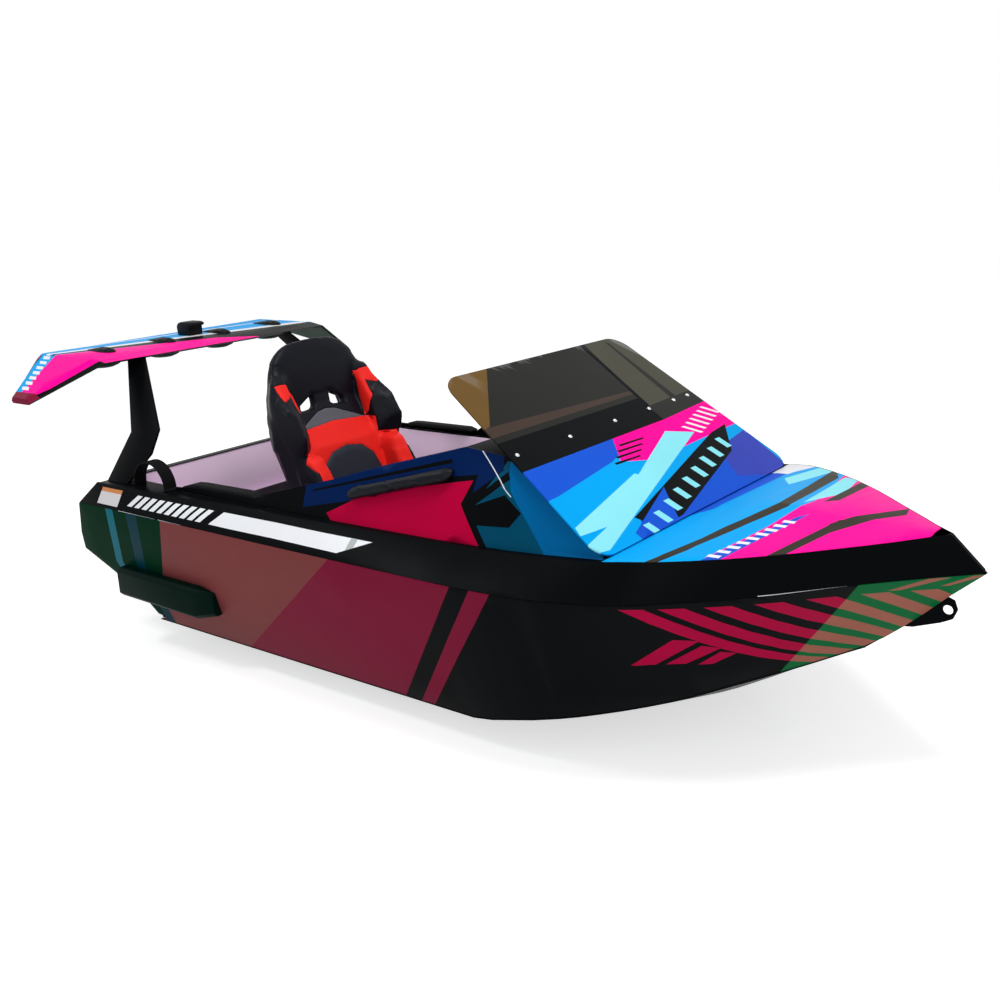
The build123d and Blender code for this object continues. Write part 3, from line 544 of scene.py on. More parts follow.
# Object of the shape, with its finishes, riding on a CAD body
def finished(shape, name, body, slots, replaced=(), smooth=30):
    mesh = bpy.data.meshes.new(name)
    shape.to_mesh(mesh)
    shape.free()
    for slot in slots:
        mesh.materials.append(made[slot])
    mesh.shade_smooth()
    mesh.set_sharp_from_angle(angle=math.radians(smooth))
    piece = bpy.data.objects.new(name, mesh)
    bpy.context.collection.objects.link(piece)
    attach(piece, body)
    if replaced:
        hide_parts(*replaced)
    return piece


def bodyOf(name):
    return nodes[name]["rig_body"]


# Cuts in shards: each has a finish, its corners and, where it lies on one film only, that film
def laid(shape, slots, shards, seenFrom, toward=None):
    for finish, corners, *over in shards:
        if finish not in slots:
            slots.append(finish)
        slot = slots.index(finish)
        kept = [slot] + [slots.index(below) for below in over]
        inlay(shape, seenFrom, corners, slot, toward,
              where=(lambda face: face.material_index in kept) if over else None)


# A copy of CAD nodes with inlaid shards
def wrapped(names, name, base, shards, seenFrom, toward=None, bevel=0.0, smooth=30):
    shape = copied(*names)
    if bevel:
        bevelled(shape, bevel)
    slots = [base]
    laid(shape, slots, shards, seenFrom, toward)
    return finished(shape, name, bodyOf(names[0]), slots, names, smooth)


# Like shards in a row: finish, count, first place, step to the next, corners from the place
def rowOf(finish, count, place, step, corners):
    return [(finish, [(place[0] + step[0] * k + a, place[1] + step[1] * k + b) for a, b in corners])
            for k in range(count)]


plateEdge = 0.0015                 # rounding of the wrapped plates' edges


# Side plates: x, z; the films run from below the keel to above the knuckle
low, high = 0.0, 0.66
sideShards = [
    # Crimson: the side's magenta with painted shade
    ("filmCrimson", [(0.2, low), (1.53, low), (1.97, high), (0.2, high)]),
    # Painted reflection: the aft side's magenta drawn rose
    ("filmRose", [(0.2, low), (0.66, low), (1.47, high), (0.2, high)]),
    # Painted reflection: the aft black drawn green
    ("filmSternGreen", [(-0.3, low), (0.2, low), (0.50, high), (-0.3, high)]),
    ("filmTeal", [(0.128, high), (0.178, high), (0.088, 0.345), (0.04, 0.345)]),
    ("filmTeal", [(0.04, 0.35), (0.088, 0.35), (0.16, 0.2), (0.10, 0.2)]),
    ("filmDusk", [(0.262, high), (0.335, high), (0.245, 0.35), (0.185, 0.35)]),
    ("filmDusk", [(0.185, 0.355), (0.245, 0.355), (0.32, 0.1), (0.26, 0.1)]),
    # Painted shade: a magenta stripe drawn crimson
    ("filmCrimson", [(1.603, low), (1.658, low), (2.124, high), (2.045, high)]),
    # Painted reflection of the ground: the bow's black drawn green
    ("filmBowGreen", [(2.712, 0.22), (3.4, 0.15), (3.4, high), (3.03, high)]),
]

# Bow stripes: each starts at one of these x and sweeps down and forward; red on black is magenta with
# painted shade, rose on green lies in the painted ground reflection
stripe = {"starts": (2.475, 2.57, 2.675, 2.785, 2.895, 3.01, 3.12), "top": 0.60, "wide": 0.062, "run": 0.40,
          "drop": 0.30, "turn": 1.25, "pieces": 7}


def stripeAt(start, share):
    return start + stripe["run"] * share, stripe["top"] - stripe["drop"] * math.sin(share * stripe["turn"])


for start in stripe["starts"]:
    for k in range(stripe["pieces"]):
        xa, za = stripeAt(start, k / stripe["pieces"])
        xb, zb = stripeAt(start, (k + 1) / stripe["pieces"])
        corners = [(xa, za), (xb, zb), (xb + stripe["wide"], zb), (xa + stripe["wide"], za)]
        sideShards.append(("filmBowRed", corners, "filmBlack"))
        sideShards.append(("filmBowRose", corners, "filmBowGreen"))
sideShards += [
    # Rose on green: stripes inside the painted ground reflection
    ("filmBowRose", [(3.07, 0.606), (3.10, 0.606), (3.22, 0.645), (3.17, 0.645)], "filmBowGreen"),
    ("filmBowRose", [(3.19, 0.612), (3.21, 0.612), (3.30, 0.648), (3.27, 0.648)], "filmBowGreen"),
    # Bow red: magenta stripes with painted shade
    ("filmBowRed", [(2.44, 0.372), (2.50, 0.372), (2.63, 0.465), (2.57, 0.475)]),
    ("filmBowRed", [(2.525, 0.372), (2.575, 0.372), (2.67, 0.43), (2.63, 0.445)]),
    ("filmBowRed", [(2.60, 0.365), (2.635, 0.365), (2.70, 0.405), (2.665, 0.415)]),
]
for side, facing in sides:
    wrapped(["side_" + side], "hullSide." + side, "filmBlack", sideShards, "side",
            Vector((0, facing, 0)), plateEdge)


# The knuckle under the sheer band: x, z; and where a painted highlight runs along its edge: span, height
knuckle = [(0, 0.600), (1.9, 0.602), (2.2, 0.607), (2.49, 0.616), (2.84, 0.630), (3.07, 0.641),
           (3.3, 0.651)]
knuckleHighlight = [((0.20, 0.44), 0.002), ((0.46, 0.60), 0.0015), ((2.80, 2.99), 0.003)]
highlightAhead = 0.4                    # share of the height left at the painted highlight's front end


# Value at a place on a line of places and values
def valueOn(line, place):
    for (low, atLow), (high, atHigh) in zip(line, line[1:]):
        if place <= high:
            return atLow + (atHigh - atLow) * (place - low) / (high - low)


# Sheer bands: a run of leaning hatch bars, then a long white lozenge: x, z
sheerShards = rowOf("filmWhite", 10, (0.245, 0.624), (0.0475, 0),
                    [(0, 0), (0.031, 0), (0.078, 0.043), (0.047, 0.043)])
sheerShards += [
    ("filmWhite", [(0.753, 0.624), (1.422, 0.622), (1.55, 0.667), (0.805, 0.668)]),
    ("filmGrey", [(1.455, 0.6336), (1.485, 0.6442), (1.485, 0.6675), (1.455, 0.6675)]),
]
# White strips along the knuckle: a painted highlight on its edge
for (startX, endX), lift in knuckleHighlight:
    startZ, endZ = valueOn(knuckle, startX), valueOn(knuckle, endX)
    sheerShards.append(("filmWhite", [(startX, startZ), (endX, endZ), (endX, endZ + lift * highlightAhead),
                                      (startX, startZ + lift)]))
for side, facing in sides:
    wrapped(["sheer_" + side], "sheerBand." + side, "filmBlack", sheerShards, "side",
            Vector((0, facing, 0)), plateEdge)
print("hull sides ready")

# Foredeck, seen from above: x, y
deckShards = [
    ("filmCyan", [(2.3, -0.8), (2.62, -0.8), (2.72, -0.2), (2.74, 0.1), (2.62, 0.8), (2.3, 0.8)]),
    ("filmRoyal", [(2.40, -0.12), (2.46, -0.05), (2.47, 0.50), (2.40, 0.52)]),
    ("filmWhite", [(2.40, 0.50), (2.48, 0.48), (2.56, 0.72), (2.40, 0.72)]),
    ("filmMint", [(2.50, 0.40), (2.56, 0.30), (2.62, 0.60), (2.57, 0.72)]),
    ("filmOlive", [(2.53, -0.62), (2.56, -0.62), (2.70, -0.02), (2.66, 0.0)]),
    ("filmOlive", [(2.66, 0.0), (2.70, -0.02), (2.665, 0.48), (2.60, 0.62)]),
    ("filmMint", [(2.72, 0.05), (2.77, 0.26), (2.73, 0.50), (2.68, 0.50)]),
    ("filmOlive", [(2.765, 0.10), (2.795, 0.16), (2.79, 0.50), (2.75, 0.52)]),
    ("filmRoyal", [(2.66, -0.55), (2.71, -0.50), (2.785, -0.05), (2.76, -0.10)]),
    ("filmOlive", [(2.80, -0.46), (2.835, -0.45), (2.915, -0.06), (2.88, -0.05)]),
    ("filmOlive", [(2.865, -0.10), (2.895, -0.16), (3.02, 0.13), (3.0, 0.22)]),
]
deckShards += rowOf("filmWhite", 9, (2.680, -0.50), (0.0092, 0.043),
                    [(-0.014, 0), (-0.014, 0.02), (0.022, 0.026), (0.022, 0.006)])
wrapped(["foredeck"], "foredeckSkin", "filmMagenta", deckShards, "top", upward, plateEdge, smooth=40)

# Screen, seen from above: smoked down to the bolts, then a black band, then the deck's colours
boltX = 2.040
bandX = 2.095                      # front edge of the black band
screenShards = [
    # Painted light in the smoke: the background seen through at the brown corner, a lit strip, and the lit
    # olive far corner
    ("smokeBrown", [(1.60, -0.66), (1.95, -0.66), (1.925, -0.53), (1.735, -0.295), (1.60, -0.20)]),
    ("smokeStrip", [(1.925, -0.64), (1.957, 0.312), (1.970, 0.312), (1.965, -0.64)]),
    ("smokeOlive", [(1.70, 0.31), (1.76, 0.30), (2.05, 0.262), (2.08, 0.50), (2.06, 0.62), (1.70, 0.62)]),
    ("smoke", [(1.735, 0.43), (1.75, 0.445), (2.05, 0.47), (2.06, 0.43)]),
    ("filmBlack", [(1.71, 0.296), (2.095, 0.268), (2.095, 0.248), (1.71, 0.276)]),
    ("filmCyan", [(2.06, -0.8), (2.5, -0.8), (2.5, 0.8), (2.06, 0.8)]),
    ("filmRoyal", [(2.06, -0.8), (2.205, -0.8), (2.20, -0.56), (2.165, -0.20), (2.125, 0.0), (2.06, 0.0)]),
    ("filmMagenta", [(2.06, -0.05), (2.175, -0.16), (2.21, 0.0), (2.20, 0.8), (2.06, 0.8)]),
    ("filmBlack", [(1.985, -0.8), (bandX, -0.8), (bandX, 0.26), (1.99, 0.26)]),
    ("smoke", [(2.03, 0.26), (bandX, 0.26), (2.075, 0.8), (2.02, 0.8)]),
    ("filmRoyal", [(2.24, 0.62), (2.29, 0.12), (2.36, -0.35), (2.45, -0.40), (2.45, 0.62)]),
    # Painted reflection: a blue patch at the far corner
    ("smokeBlue", [(2.235, 0.62), (2.26, 0.36), (2.37, 0.30), (2.45, 0.62)]),
    ("filmBlack", [(2.19, 0.55), (2.20, 0.42), (2.345, -0.36), (2.405, -0.30), (2.40, -0.15),
                   (2.285, 0.42)]),
    ("filmRoyal", [(2.30, -0.10), (2.42, -0.20), (2.42, -0.42), (2.385, -0.42)]),
    ("filmMint", [(2.135, 0.20), (2.175, 0.34), (2.275, -0.08), (2.245, -0.19)]),
    ("filmMint", [(2.225, -0.16), (2.275, -0.08), (2.395, -0.58), (2.385, -0.66), (2.30, -0.62)]),
    ("filmCyan", [(2.325, -0.66), (2.335, -0.50), (2.36, -0.66)]),
]
screenShards += rowOf("filmMint", 9, (2.225, 0.43), (0.15 / 8, -0.76 / 8),
                      [(0, -0.03), (0.045, -0.015), (0.045, 0.02), (0, 0.005)])
screenShards += rowOf("filmWhite", 6, (2.098, 0.53), (0.052 / 6, -0.26 / 6),
                      [(0, -0.01), (0.045, 0.055), (0.045, 0.075), (0, 0.01)])
screenShards += rowOf("filmBlack", 4, (2.12, -0.06), (0.017, -0.035),
                      [(0, -0.03), (0.008, -0.03), (0.012, 0.12), (0.006, 0.12)])
screenPiece = wrapped(["screen"], "screenSheet", "smoke", screenShards, "top", smooth=40)

# Bolts along the screen's outer face
bolts = {"radius": 0.008, "height": 0.005, "places": (-0.545, -0.255, 0.02, 0.25, 0.43, 0.535),
         "above": 2.0}             # from this height each is dropped on the sheet
sheetLow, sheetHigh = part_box("screen")
sheetNormal = Vector((sheetHigh.z - sheetLow.z, 0, sheetHigh.x - sheetLow.x)).normalized()
sheetTree = BVHTree.FromPolygons([vertex.co for vertex in screenPiece.data.vertices],
                                 [face.vertices for face in screenPiece.data.polygons])
turn = sheetNormal.to_track_quat("Z", "Y").to_matrix().to_4x4()
squash = Matrix.Diagonal((1, 1, bolts["height"] / bolts["radius"], 1))
shape = bmesh.new()
for y in bolts["places"]:
    seat = sheetTree.ray_cast(Vector((boltX + cornerX, y, bolts["above"])), -upward)[0]
    dome = bmesh.ops.create_uvsphere(shape, u_segments=20, v_segments=10, radius=bolts["radius"])
    bmesh.ops.transform(shape, matrix=Matrix.Translation(seat) @ turn @ squash, verts=dome["verts"])
finished(shape, "screenBolts", bodyOf("screen"), ["steel"], smooth=60)
print("deck and screen ready")

# Cowl sides: x, z; the side faces away from the light, so its red, navy and deep teal are magenta, blue and
# teal films with painted shade
cowlShards = [
    ("filmNavy", [(1.15, 0.716), (1.62, 0.822), (1.93, 0.90), (1.95, 1.05), (1.20, 1.05), (1.16, 0.80)]),
    ("filmBlack", [(1.19, 0.775), (1.80, 0.935), (1.79, 0.946), (1.20, 0.785)]),
    ("filmRed", [(1.27, 0.712), (1.45, 0.80), (1.895, 0.893), (1.855, 0.815), (1.79, 0.70), (1.60, 0.60),
                 (1.40, 0.60)]),
    ("filmRed", [(1.855, 0.815), (2.03, 0.60), (1.60, 0.60), (1.70, 0.70)]),
    ("filmBlack", [(1.45, 0.80), (1.895, 0.893), (1.93, 0.915), (1.76, 0.885)]),
    ("filmBlack", [(1.855, 0.815), (2.03, 0.60), (2.07, 0.60), (1.885, 0.82)]),
    ("filmBlack", [(1.855, 0.815), (1.885, 0.82), (1.93, 0.915), (1.895, 0.893)]),
    ("filmDeepTeal", [(1.90, 0.80), (2.06, 0.60), (2.6, 0.60), (2.6, 0.80), (2.02, 0.965)]),
    ("filmBlack", [(1.885, 0.808), (1.93, 0.76), (2.06, 0.772), (2.10, 0.82), (2.035, 0.868)]),
    ("filmBlack", [(1.87, 0.808), (1.885, 0.798), (2.045, 0.915), (2.03, 0.935)]),
    ("filmNavy", [(1.90, 0.855), (2.01, 0.935), (1.99, 1.02), (1.93, 1.02)]),
    ("filmOcean", [(2.03, 0.955), (2.055, 0.88), (2.22, 0.68), (2.6, 0.68), (2.6, 0.80), (2.04, 1.02)]),
    # Painted highlight: a thin white line along the cowl's fold
    ("filmWhite", [(1.905, 0.986), (1.908, 0.988), (2.060, 0.866), (2.057, 0.864)]),
]
for side, facing in sides:
    wrapped(["cowl_" + side], "cowlSide." + side, "filmBlack", cowlShards, "side",
            Vector((0, facing, 0)), smooth=25)
print("cowl ready")

# Wing, seen from above: magenta ends, blue, white and black stripes between them
wingShards = [
    ("filmMagenta", [(-0.60, -0.95), (0.1, -0.95), (0.1, -0.62), (-0.60, -0.62)]),
    ("filmMagenta", [(-0.60, 0.95), (0.1, 0.95), (0.1, 0.62), (-0.60, 0.62)]),
    ("filmCyan", [(-0.60, -0.62), (0.1, -0.62), (0.1, 0.62), (-0.60, 0.62)]),
    ("filmWhite", [(-0.43, -0.62), (-0.40, -0.62), (-0.07, 0.45), (-0.12, 0.62), (-0.16, 0.62)]),
    ("filmBlack", [(-0.385, -0.62), (-0.37, -0.62), (0.02, 0.28), (0.02, 0.62), (-0.09, 0.62)]),
    ("filmMagenta", [(-0.36, -0.62), (0.02, -0.62), (0.02, 0.22), (-0.02, 0.20)]),
    ("filmWhite", [(-0.50, -0.62), (-0.485, -0.62), (-0.33, 0.62), (-0.35, 0.62)]),
    ("filmBlack", [(-0.045, -0.61), (0.1, -0.61), (0.1, -0.95), (-0.178, -0.89)]),
    ("filmBlack", [(-0.52, -0.66), (-0.455, -0.62), (-0.30, -0.89), (-0.34, -0.89)]),
    ("filmCyan", [(-0.455, -0.62), (-0.36, -0.62), (-0.245, -0.89), (-0.30, -0.89)]),
]
wingShards += rowOf("filmWhite", 7, (-0.405, -0.64), (0.15 / 7, -0.22 / 7),
                    [(-0.03, 0.015), (0.02, 0.015), (0.04, -0.003), (-0.01, -0.003)])
onTips = 7                         # the shards from this one on are on one tip and mirrored to the other
wingShards += [(finish, [(x, -y) for x, y in corners]) for finish, corners in wingShards[onTips:]]
# Films under a tip and on its end, with the y and z of the direction they face: under the tip, black with a
# painted green reflection; on the end, magenta with painted shade
tipFilms = [
    ("filmSternGreen", [(-0.6, 0.56), (0.1, 0.56), (0.1, 0.95), (-0.6, 0.95)], (0, -1)),
    ("filmCrimson", [(-0.6, 0.852), (0.1, 0.84), (0.1, 0.95), (-0.6, 0.95)], (0.7, 0.7)),
]
shape = copied("wing_blade")
slots = ["filmBlack"]
laid(shape, slots, wingShards, "top", upward)
for hand in hands:
    for finish, corners, (outward, up) in tipFilms:
        mirrored = [(x, y * hand) for x, y in corners]
        laid(shape, slots, [(finish, mirrored)], "top", Vector((0, outward * hand, up)))
finished(shape, "wingBlade", bodyOf("wing_blade"), slots, ["wing_blade"], smooth=20)
print("wing ready")


# Rigid pieces whose edges are rounded: node, finish, edge radius, smooth angle
rounded = [
    # Sponsons: black moulding with a painted green reflection
    ("sponsons", "mouldedGreen", 0.006, 40),
    ("wing_lamp", "mouldedBlack", 0.006, 40),
    # Wing pods: black moulding with a painted green reflection
    ("wing_pods", "mouldedGreen", 0.003, 40),
    ("coaming_pads", "rubberBlack", 0.004, 40),
    ("uprights", "plateBlack", 0.0025, 30),
    ("grab_handles", "webbing", 0.0015, 50),
    ("tow_eye", "filmBlack", 0.002, 30),
    ("stern_deck", "filmBlack", 0.001, 30),
    ("dash_hood", "plateBlack", 0.0012, 30),
    ("side_decks", "filmBlack", 0.001, 30),
    ("aft_wall", "lining", 0.001, 30),
    ("liner_sides", "lining", 0.001, 30),
]
strap = {"middle": 0.649, "widen": 1.35}     # the webbing is wider than the part's bare strap
for name, finish, width, smooth in rounded:
    shape = copied(name)
    if name == "grab_handles":
        for vertex in shape.verts:
            middle = math.copysign(strap["middle"], vertex.co.y)
            vertex.co.y = middle + (vertex.co.y - middle) * strap["widen"]
    bevelled(shape, width)
    finished(shape, name + ".round", bodyOf(name), [finish], [name], smooth)

# Blank plate with an orange strip along its top
label = {"from": 0.0, "to": 0.3, "strip": 0.014, "past": 0.1}
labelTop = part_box("label_plate")[1].z
stripCorners = [(label["from"], labelTop - label["strip"]), (label["to"], labelTop - label["strip"]),
                (label["to"], labelTop + label["past"]), (label["from"], labelTop + label["past"])]
wrapped(["label_plate"], "labelPlate", "labelWhite", [("labelOrange", stripCorners)], "side")
print("rounded pieces ready")


# Upholstery: the CAD forms remeshed, blown up a little as cloth, then panelled and sewn
def asObject(mesh):
    piece = bpy.data.objects.new(mesh.name, mesh)
    bpy.context.collection.objects.link(piece)
    return piece


def evaluated(piece):
    graph = bpy.context.evaluated_depsgraph_get()
    return bpy.data.meshes.new_from_object(piece.evaluated_get(graph))


def remeshed(shape, voxel):
    mesh = bpy.data.meshes.new("padForm")
    shape.to_mesh(mesh)
    shape.free()
    piece = asObject(mesh)
    modifier = piece.modifiers.new("remesh", "REMESH")
    modifier.mode = "VOXEL"
    modifier.voxel_size = voxel
    result = evaluated(piece)
    bpy.data.objects.remove(piece)
    return result


# Every point moved along its normal
def shifted(mesh, distance):
    normals = [vertex.normal.copy() for vertex in mesh.vertices]
    for vertex, normal in zip(mesh.vertices, normals):
        vertex.co += normal * distance


cloth = {"pressure": 4.0, "frames": 20, "quality": 4, "slack": 0.004, "cap": 0.009, "quickSwell": 0.8}


# Cloth under pressure; no point moves farther than the cap
def blownUp(mesh):
    shifted(mesh, -cloth["slack"])
    piece = asObject(mesh)
    modifier = piece.modifiers.new("cloth", "CLOTH")
    modifier.settings.quality = cloth["quality"]
    modifier.settings.use_pressure = True
    modifier.settings.uniform_pressure_force = cloth["pressure"]
    modifier.settings.effector_weights.gravity = 0
    modifier.collision_settings.use_collision = False
    modifier.point_cache.frame_end = cloth["frames"]
    scene = bpy.context.scene
    for frameNumber in range(1, cloth["frames"] + 1):
        scene.frame_set(frameNumber)
    result = evaluated(piece)
    for start, end in zip(mesh.vertices, result.vertices):
        move = end.co - start.co
        if move.length > cloth["cap"]:
            end.co = start.co + move.normalized() * cloth["cap"]
    bpy.data.objects.remove(piece)
    scene.frame_set(1)
    return result


# Distance from a convex outline's border, positive inside; the outline runs clockwise from the front
def depthInside(a, b, corners):
    least = 1.0
    for (xa, ya), (xb, yb) in zip(corners[-1:] + corners[:-1], corners):
        away = ((xb - xa) * (b - ya) - (yb - ya) * (a - xa)) / math.hypot(xb - xa, yb - ya)
        least = min(least, -away)
    return least


# Panel pushed out, seen from the front
def raised(shape, corners, height, run):
    shape.normal_update()
    for vertex in shape.verts:
        if vertex.normal.dot(forward) < 0.2:
            continue
        inside = depthInside(vertex.co.y, vertex.co.z, corners)
        if inside > 0:
            share = min(inside / run, 1.0)
            vertex.co += vertex.normal * height * share * (2 - share)


# Creases: start, end, half width, height
def folded(shape, folds):
    shape.normal_update()
    moves = []
    for vertex in shape.verts:
        total = 0.0
        for start, end, width, height in folds:
            a, b = Vector(start), Vector(end)
            a.x += cornerX
            b.x += cornerX
            along = b - a
            share = max(0.0, min(1.0, (vertex.co - a).dot(along) / along.length_squared))
            away = (vertex.co - a - along * share).length / width
            if away < 3:
                total += height * math.exp(-away * away)
        if total:
            moves.append((vertex, vertex.normal * total))
    for vertex, move in moves:
        vertex.co += move


seam = {"depth": 0.0025, "beside": 0.45}     # share of the depth one point away from the seam


# Seam channel wherever two panels meet
def sewn(shape):
    shape.normal_update()
    along = set()
    for edge in shape.edges:
        if len({face.material_index for face in edge.link_faces}) > 1:
            along.update(edge.verts)
    beside = {edge.other_vert(vertex) for vertex in along for edge in vertex.link_edges} - along
    for group, share in ((along, 1.0), (beside, seam["beside"])):
        for vertex in group:
            vertex.co -= vertex.normal * seam["depth"] * share


def softened(shape, rounds, verts):
    for _ in range(rounds):
        bmesh.ops.smooth_vert(shape, verts=verts, factor=0.5, use_axis_x=True, use_axis_y=True,
                              use_axis_z=True)


slotZone = {"y": (0.02, 0.155), "z": (0.885, 1.005), "run": 0.03}
faceLine = [(0.90, 0.602), (0.94, 0.590), (1.08, 0.583)]     # z, x of the back's face by the slots


def faceX(z):
    return valueOn(faceLine, z) + cornerX


# The back is thinner round its slots: its rear side comes forward there
def thinned(shape, share):
    for vertex in shape.verts:
        y, z = abs(vertex.co.y), vertex.co.z
        inside = min(y - slotZone["y"][0] + slotZone["run"], slotZone["y"][1] - y,
                     z - slotZone["z"][0], slotZone["z"][1] - z)
        if inside > 0 and vertex.co.x < faceX(z):
            near = min(inside / slotZone["run"], 1.0)
            vertex.co.x = faceX(z) + (vertex.co.x - faceX(z)) * (1 - (1 - share) * near)


softness = 6                       # rounds of smoothing over a whole pad


# A padded piece from the CAD nodes; melts are zones smoothed more, thin is the share left round the slots
def upholstered(names, name, base, panels, voxel=0.006, folds=(), bulges=(), melts=(), thin=1.0, grow=0.0):
    mesh = blownUp(remeshed(copied(*names), voxel))
    shape = bmesh.new()
    shape.from_mesh(mesh)
    softened(shape, softness, shape.verts[:])
    for rounds, where in melts:
        softened(shape, rounds, [vertex for vertex in shape.verts if where(vertex.co)])
    shape.normal_update()
    for vertex, normal in [(vertex, vertex.normal.copy()) for vertex in shape.verts]:
        vertex.co += normal * grow
    if thin < 1:
        thinned(shape, thin)
    for corners, height, run in bulges:
        raised(shape, corners, height, run)
    folded(shape, folds)
    shape.normal_update()
    slots = [base]
    for face in shape.faces:
        face.material_index = 0
    for finish, seenFrom, corners, toward, least, where in panels:
        if finish not in slots:
            slots.append(finish)
        inlay(shape, seenFrom, corners, slots.index(finish), toward, least, where)
    sewn(shape)
    piece = finished(shape, name, bodyOf(names[0]), slots, names, 60)


lumbar = [(-0.175, 0.46), (-0.170, 0.64), (-0.145, 0.705), (-0.085, 0.75), (0, 0.765),
          (0.085, 0.75), (0.145, 0.705), (0.170, 0.64), (0.175, 0.46)]


bolsterFrom = 0.19                 # the bolsters begin at this y


# Faces of the bolsters on one side
def besideOf(hand):
    return lambda face: face.calc_center_median().y * hand > bolsterFrom


# Panels of the back: finish, view, corners, direction faced, least share of it, faces meant
backPanels = [
    ("leatherGrey", "front", [(-0.185, 0.848), (-0.12, 0.876), (-0.05, 0.904), (0, 0.911), (0.05, 0.904),
                              (0.12, 0.876), (0.185, 0.848)], forward, 0.15, None),
    ("leatherRed", "front", [(-0.262, 0.45), (-0.262, 0.783), (0.262, 0.783), (0.262, 0.45)],
     forward, -0.3, None),
    ("leatherRed", "front", [(-0.197, 0.76), (-0.197, 0.848), (0, 0.860), (0.197, 0.848), (0.197, 0.76)],
     forward, 0.0, None),
    ("leatherSlate", "front", lumbar, forward, 0.15, None),
]
# Strip down the shoulder's inner face, then the band over the shoulder: corners in x and z, the y where
# it ends, and the top of the black beyond, at that y and at its outer side
shoulderPanels = [
    ([(0.602, 1.04), (0.66, 1.04), (0.692, 0.93), (0.675, 0.87), (0.655, 0.85), (0.625, 0.92)],
     0.213, 1.00, 0.97),
    ([(0.600, 1.026), (0.665, 1.095), (0.715, 1.065), (0.636, 0.990)], 0.270, 1.12, 1.12),
]
blackTo = (0.33, 0.80)             # that black goes out to this y and down to this z
thighTop = [(0.775, 0.745), (1.28, 0.45), (1.28, 0.783), (0.775, 0.783)]
for hand in hands:
    for corners, endY, innerZ, outerZ in shoulderPanels:
        beyond = [(endY * hand, innerZ), (blackTo[0] * hand, outerZ), (blackTo[0] * hand, blackTo[1]),
                  (endY * hand, blackTo[1])]
        backPanels += [
            ("leatherRed", "side", corners, None, 0, besideOf(hand)),
            ("leatherBlack", "front", beyond, None, 0, None),
        ]
    backPanels.append(("leatherRed", "side", thighTop, None, 0, besideOf(hand)))


# Zones of the shell that are smoothed more
shoulder = {"beside": 0.15, "low": 1.0, "high": 1.12}
head = {"low": 1.02, "beside": 0.24, "besideLow": 0.86}
hip = {"beside": 0.16, "ahead": 0.68, "low": 0.71, "high": 0.83}


def byShoulder(point):
    return abs(point.y) > shoulder["beside"] and shoulder["low"] < point.z < shoulder["high"]


def byHead(point):
    return point.z > head["low"] or (abs(point.y) > head["beside"] and point.z > head["besideLow"])


def byHip(point):
    return (abs(point.y) > hip["beside"] and point.x > cornerX + hip["ahead"]
            and hip["low"] < point.z < hip["high"])


# Creases on the shoulders, port side: a crease's three points, their moves from row to row, and heights
creases = {"points": ((0.645, 0.286, 0.985), (0.70, 0.280, 0.945), (0.742, 0.274, 0.885)),
           "steps": ((0.006, -0.013, -0.006), (0, -0.013, -0.008), (0, -0.013, -0.004)),
           "heights": (0.006, -0.005, 0.005, -0.004), "half": 0.0075}
seatFolds = []
for hand in hands:
    for row, height in enumerate(creases["heights"]):
        line = [(x + dx * row, hand * (y + dy * row), z + dz * row)
                for (x, y, z), (dx, dy, dz) in zip(creases["points"], creases["steps"])]
        for start, end in zip(line, line[1:]):
            seatFolds.append((start, end, creases["half"], height))
upholstered(["seat_back", "seat_back_wings", "seat_thigh_wings"], "seatShell", "leatherBlack", backPanels,
            folds=seatFolds, bulges=[(lumbar, 0.008, 0.03)],
            melts=[(14, byHead), (30, byShoulder), (40, byHip)], thin=0.55, grow=0.004)
cushionPanel = [(0.7, -0.166), (1.30, -0.166), (1.30, 0.166), (0.7, 0.166)]
upholstered(["seat_cushion"], "seatCushion", "leatherRed",
            [("leatherSlate", "top", cushionPanel, upward, 0.1, None)])

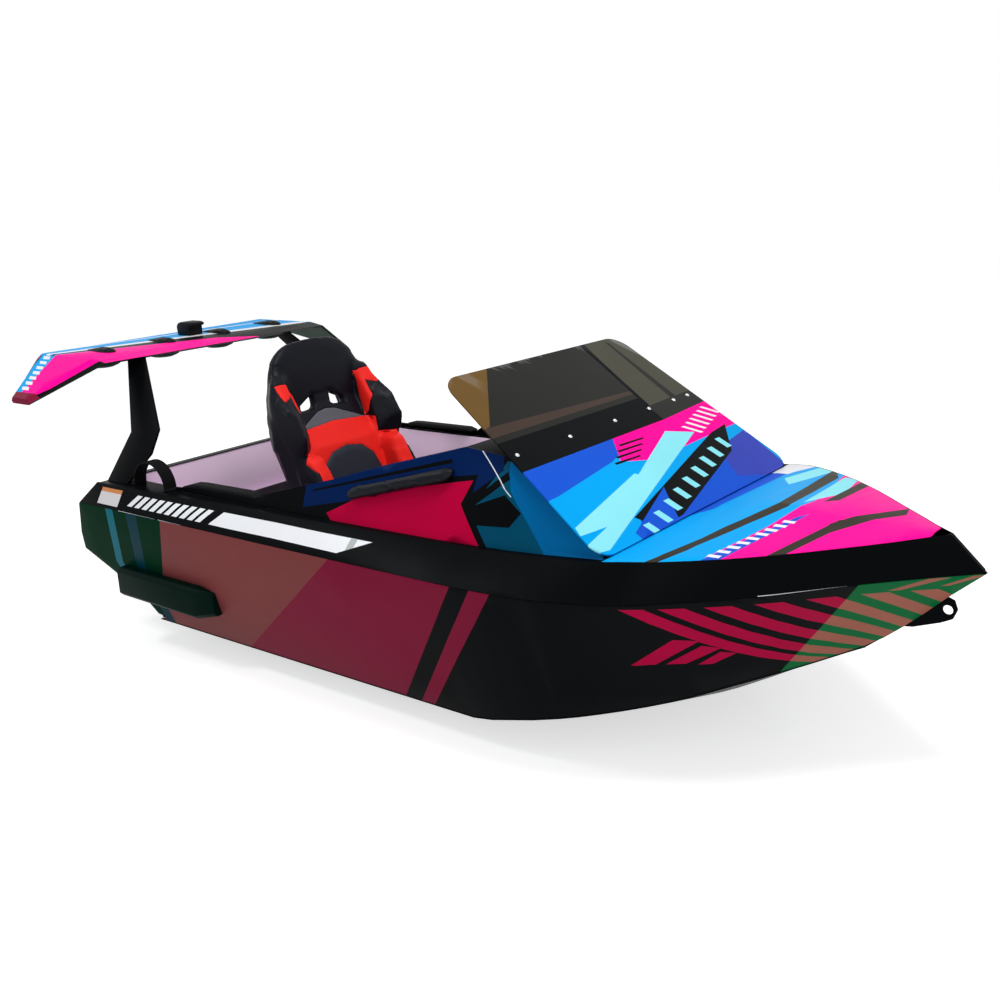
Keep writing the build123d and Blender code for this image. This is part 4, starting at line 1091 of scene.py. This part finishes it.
# Folds across the elbow pads: from and to in x and z, height; their ends' y, and half their width
padFolds = [
    ((1.42, 0.83), (1.50, 0.79), 0.005),
    ((1.55, 0.87), (1.60, 0.80), -0.004),
    ((1.66, 0.88), (1.74, 0.85), 0.005),
    ((1.72, 0.91), (1.78, 0.86), -0.004),
]
padFoldY = (0.645, 0.62)
padFoldHalf = 0.010
upholstered(["elbow_pads"], "elbowPads", "leatherBlack", [], voxel=0.005, grow=0.006,
            folds=[((xa, hand * padFoldY[0], za), (xb, hand * padFoldY[1], zb), padFoldHalf, height)
                   for (xa, za), (xb, zb), height in padFolds for hand in hands])
print("upholstery ready")


# Rims round the harness slots, port side: y, z
slotRim = {"corners": [(0.046, 0.926), (0.046, 0.980), (0.124, 0.938), (0.128, 0.912), (0.062, 0.916)],
           "radius": 0.005, "outward": 1.10, "sides": 8, "proud": 0.001}


# Closed tube through the points
def addRim(shape, ring):
    count, around = len(ring), slotRim["sides"]
    loops = []
    for k, here in enumerate(ring):
        before, after = ring[k - 1], ring[(k + 1) % count]
        tangent = ((after - here).normalized() + (here - before).normalized()).normalized()
        across = tangent.cross(forward).normalized()
        angles = [2 * math.pi * j / around for j in range(around)]
        loops.append([shape.verts.new(here + (across * math.cos(angle) + forward * math.sin(angle))
                                      * slotRim["radius"]) for angle in angles])
    for k in range(count):
        for j in range(around):
            shape.faces.new((loops[k - 1][j - 1], loops[k - 1][j], loops[k][j], loops[k][j - 1]))


middleY, middleZ = [sum(values) / len(values) for values in zip(*slotRim["corners"])]
ring = [(middleY + (y - middleY) * slotRim["outward"], middleZ + (z - middleZ) * slotRim["outward"])
        for y, z in slotRim["corners"]]
shape = bmesh.new()
for hand in hands:
    addRim(shape, [Vector((faceX(z) + slotRim["proud"], hand * y, z)) for y, z in ring])
bmesh.ops.recalc_face_normals(shape, faces=shape.faces[:])
finished(shape, "slotRims", bodyOf("seat_back"), ["mouldedBlack"], smooth=60)

# Bolt heads on the sponsons, on both sides: x, z
boltHeads = {"places": ((0.173, 0.325), (0.361, 0.318), (0.55, 0.318)), "radius": 0.008,
             "inset": 0.012}
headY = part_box("sponsons")[1].y - boltHeads["inset"]
shape = bmesh.new()
for hand in hands:
    for x, z in boltHeads["places"]:
        dome = bmesh.ops.create_uvsphere(shape, u_segments=16, v_segments=8, radius=boltHeads["radius"])
        place = Matrix.Translation((x + cornerX, hand * headY, z))
        bmesh.ops.transform(shape, matrix=place, verts=dome["verts"])
finished(shape, "sponsonBolts", bodyOf("sponsons"), ["mouldedBlack"], smooth=60)
print("fittings ready")
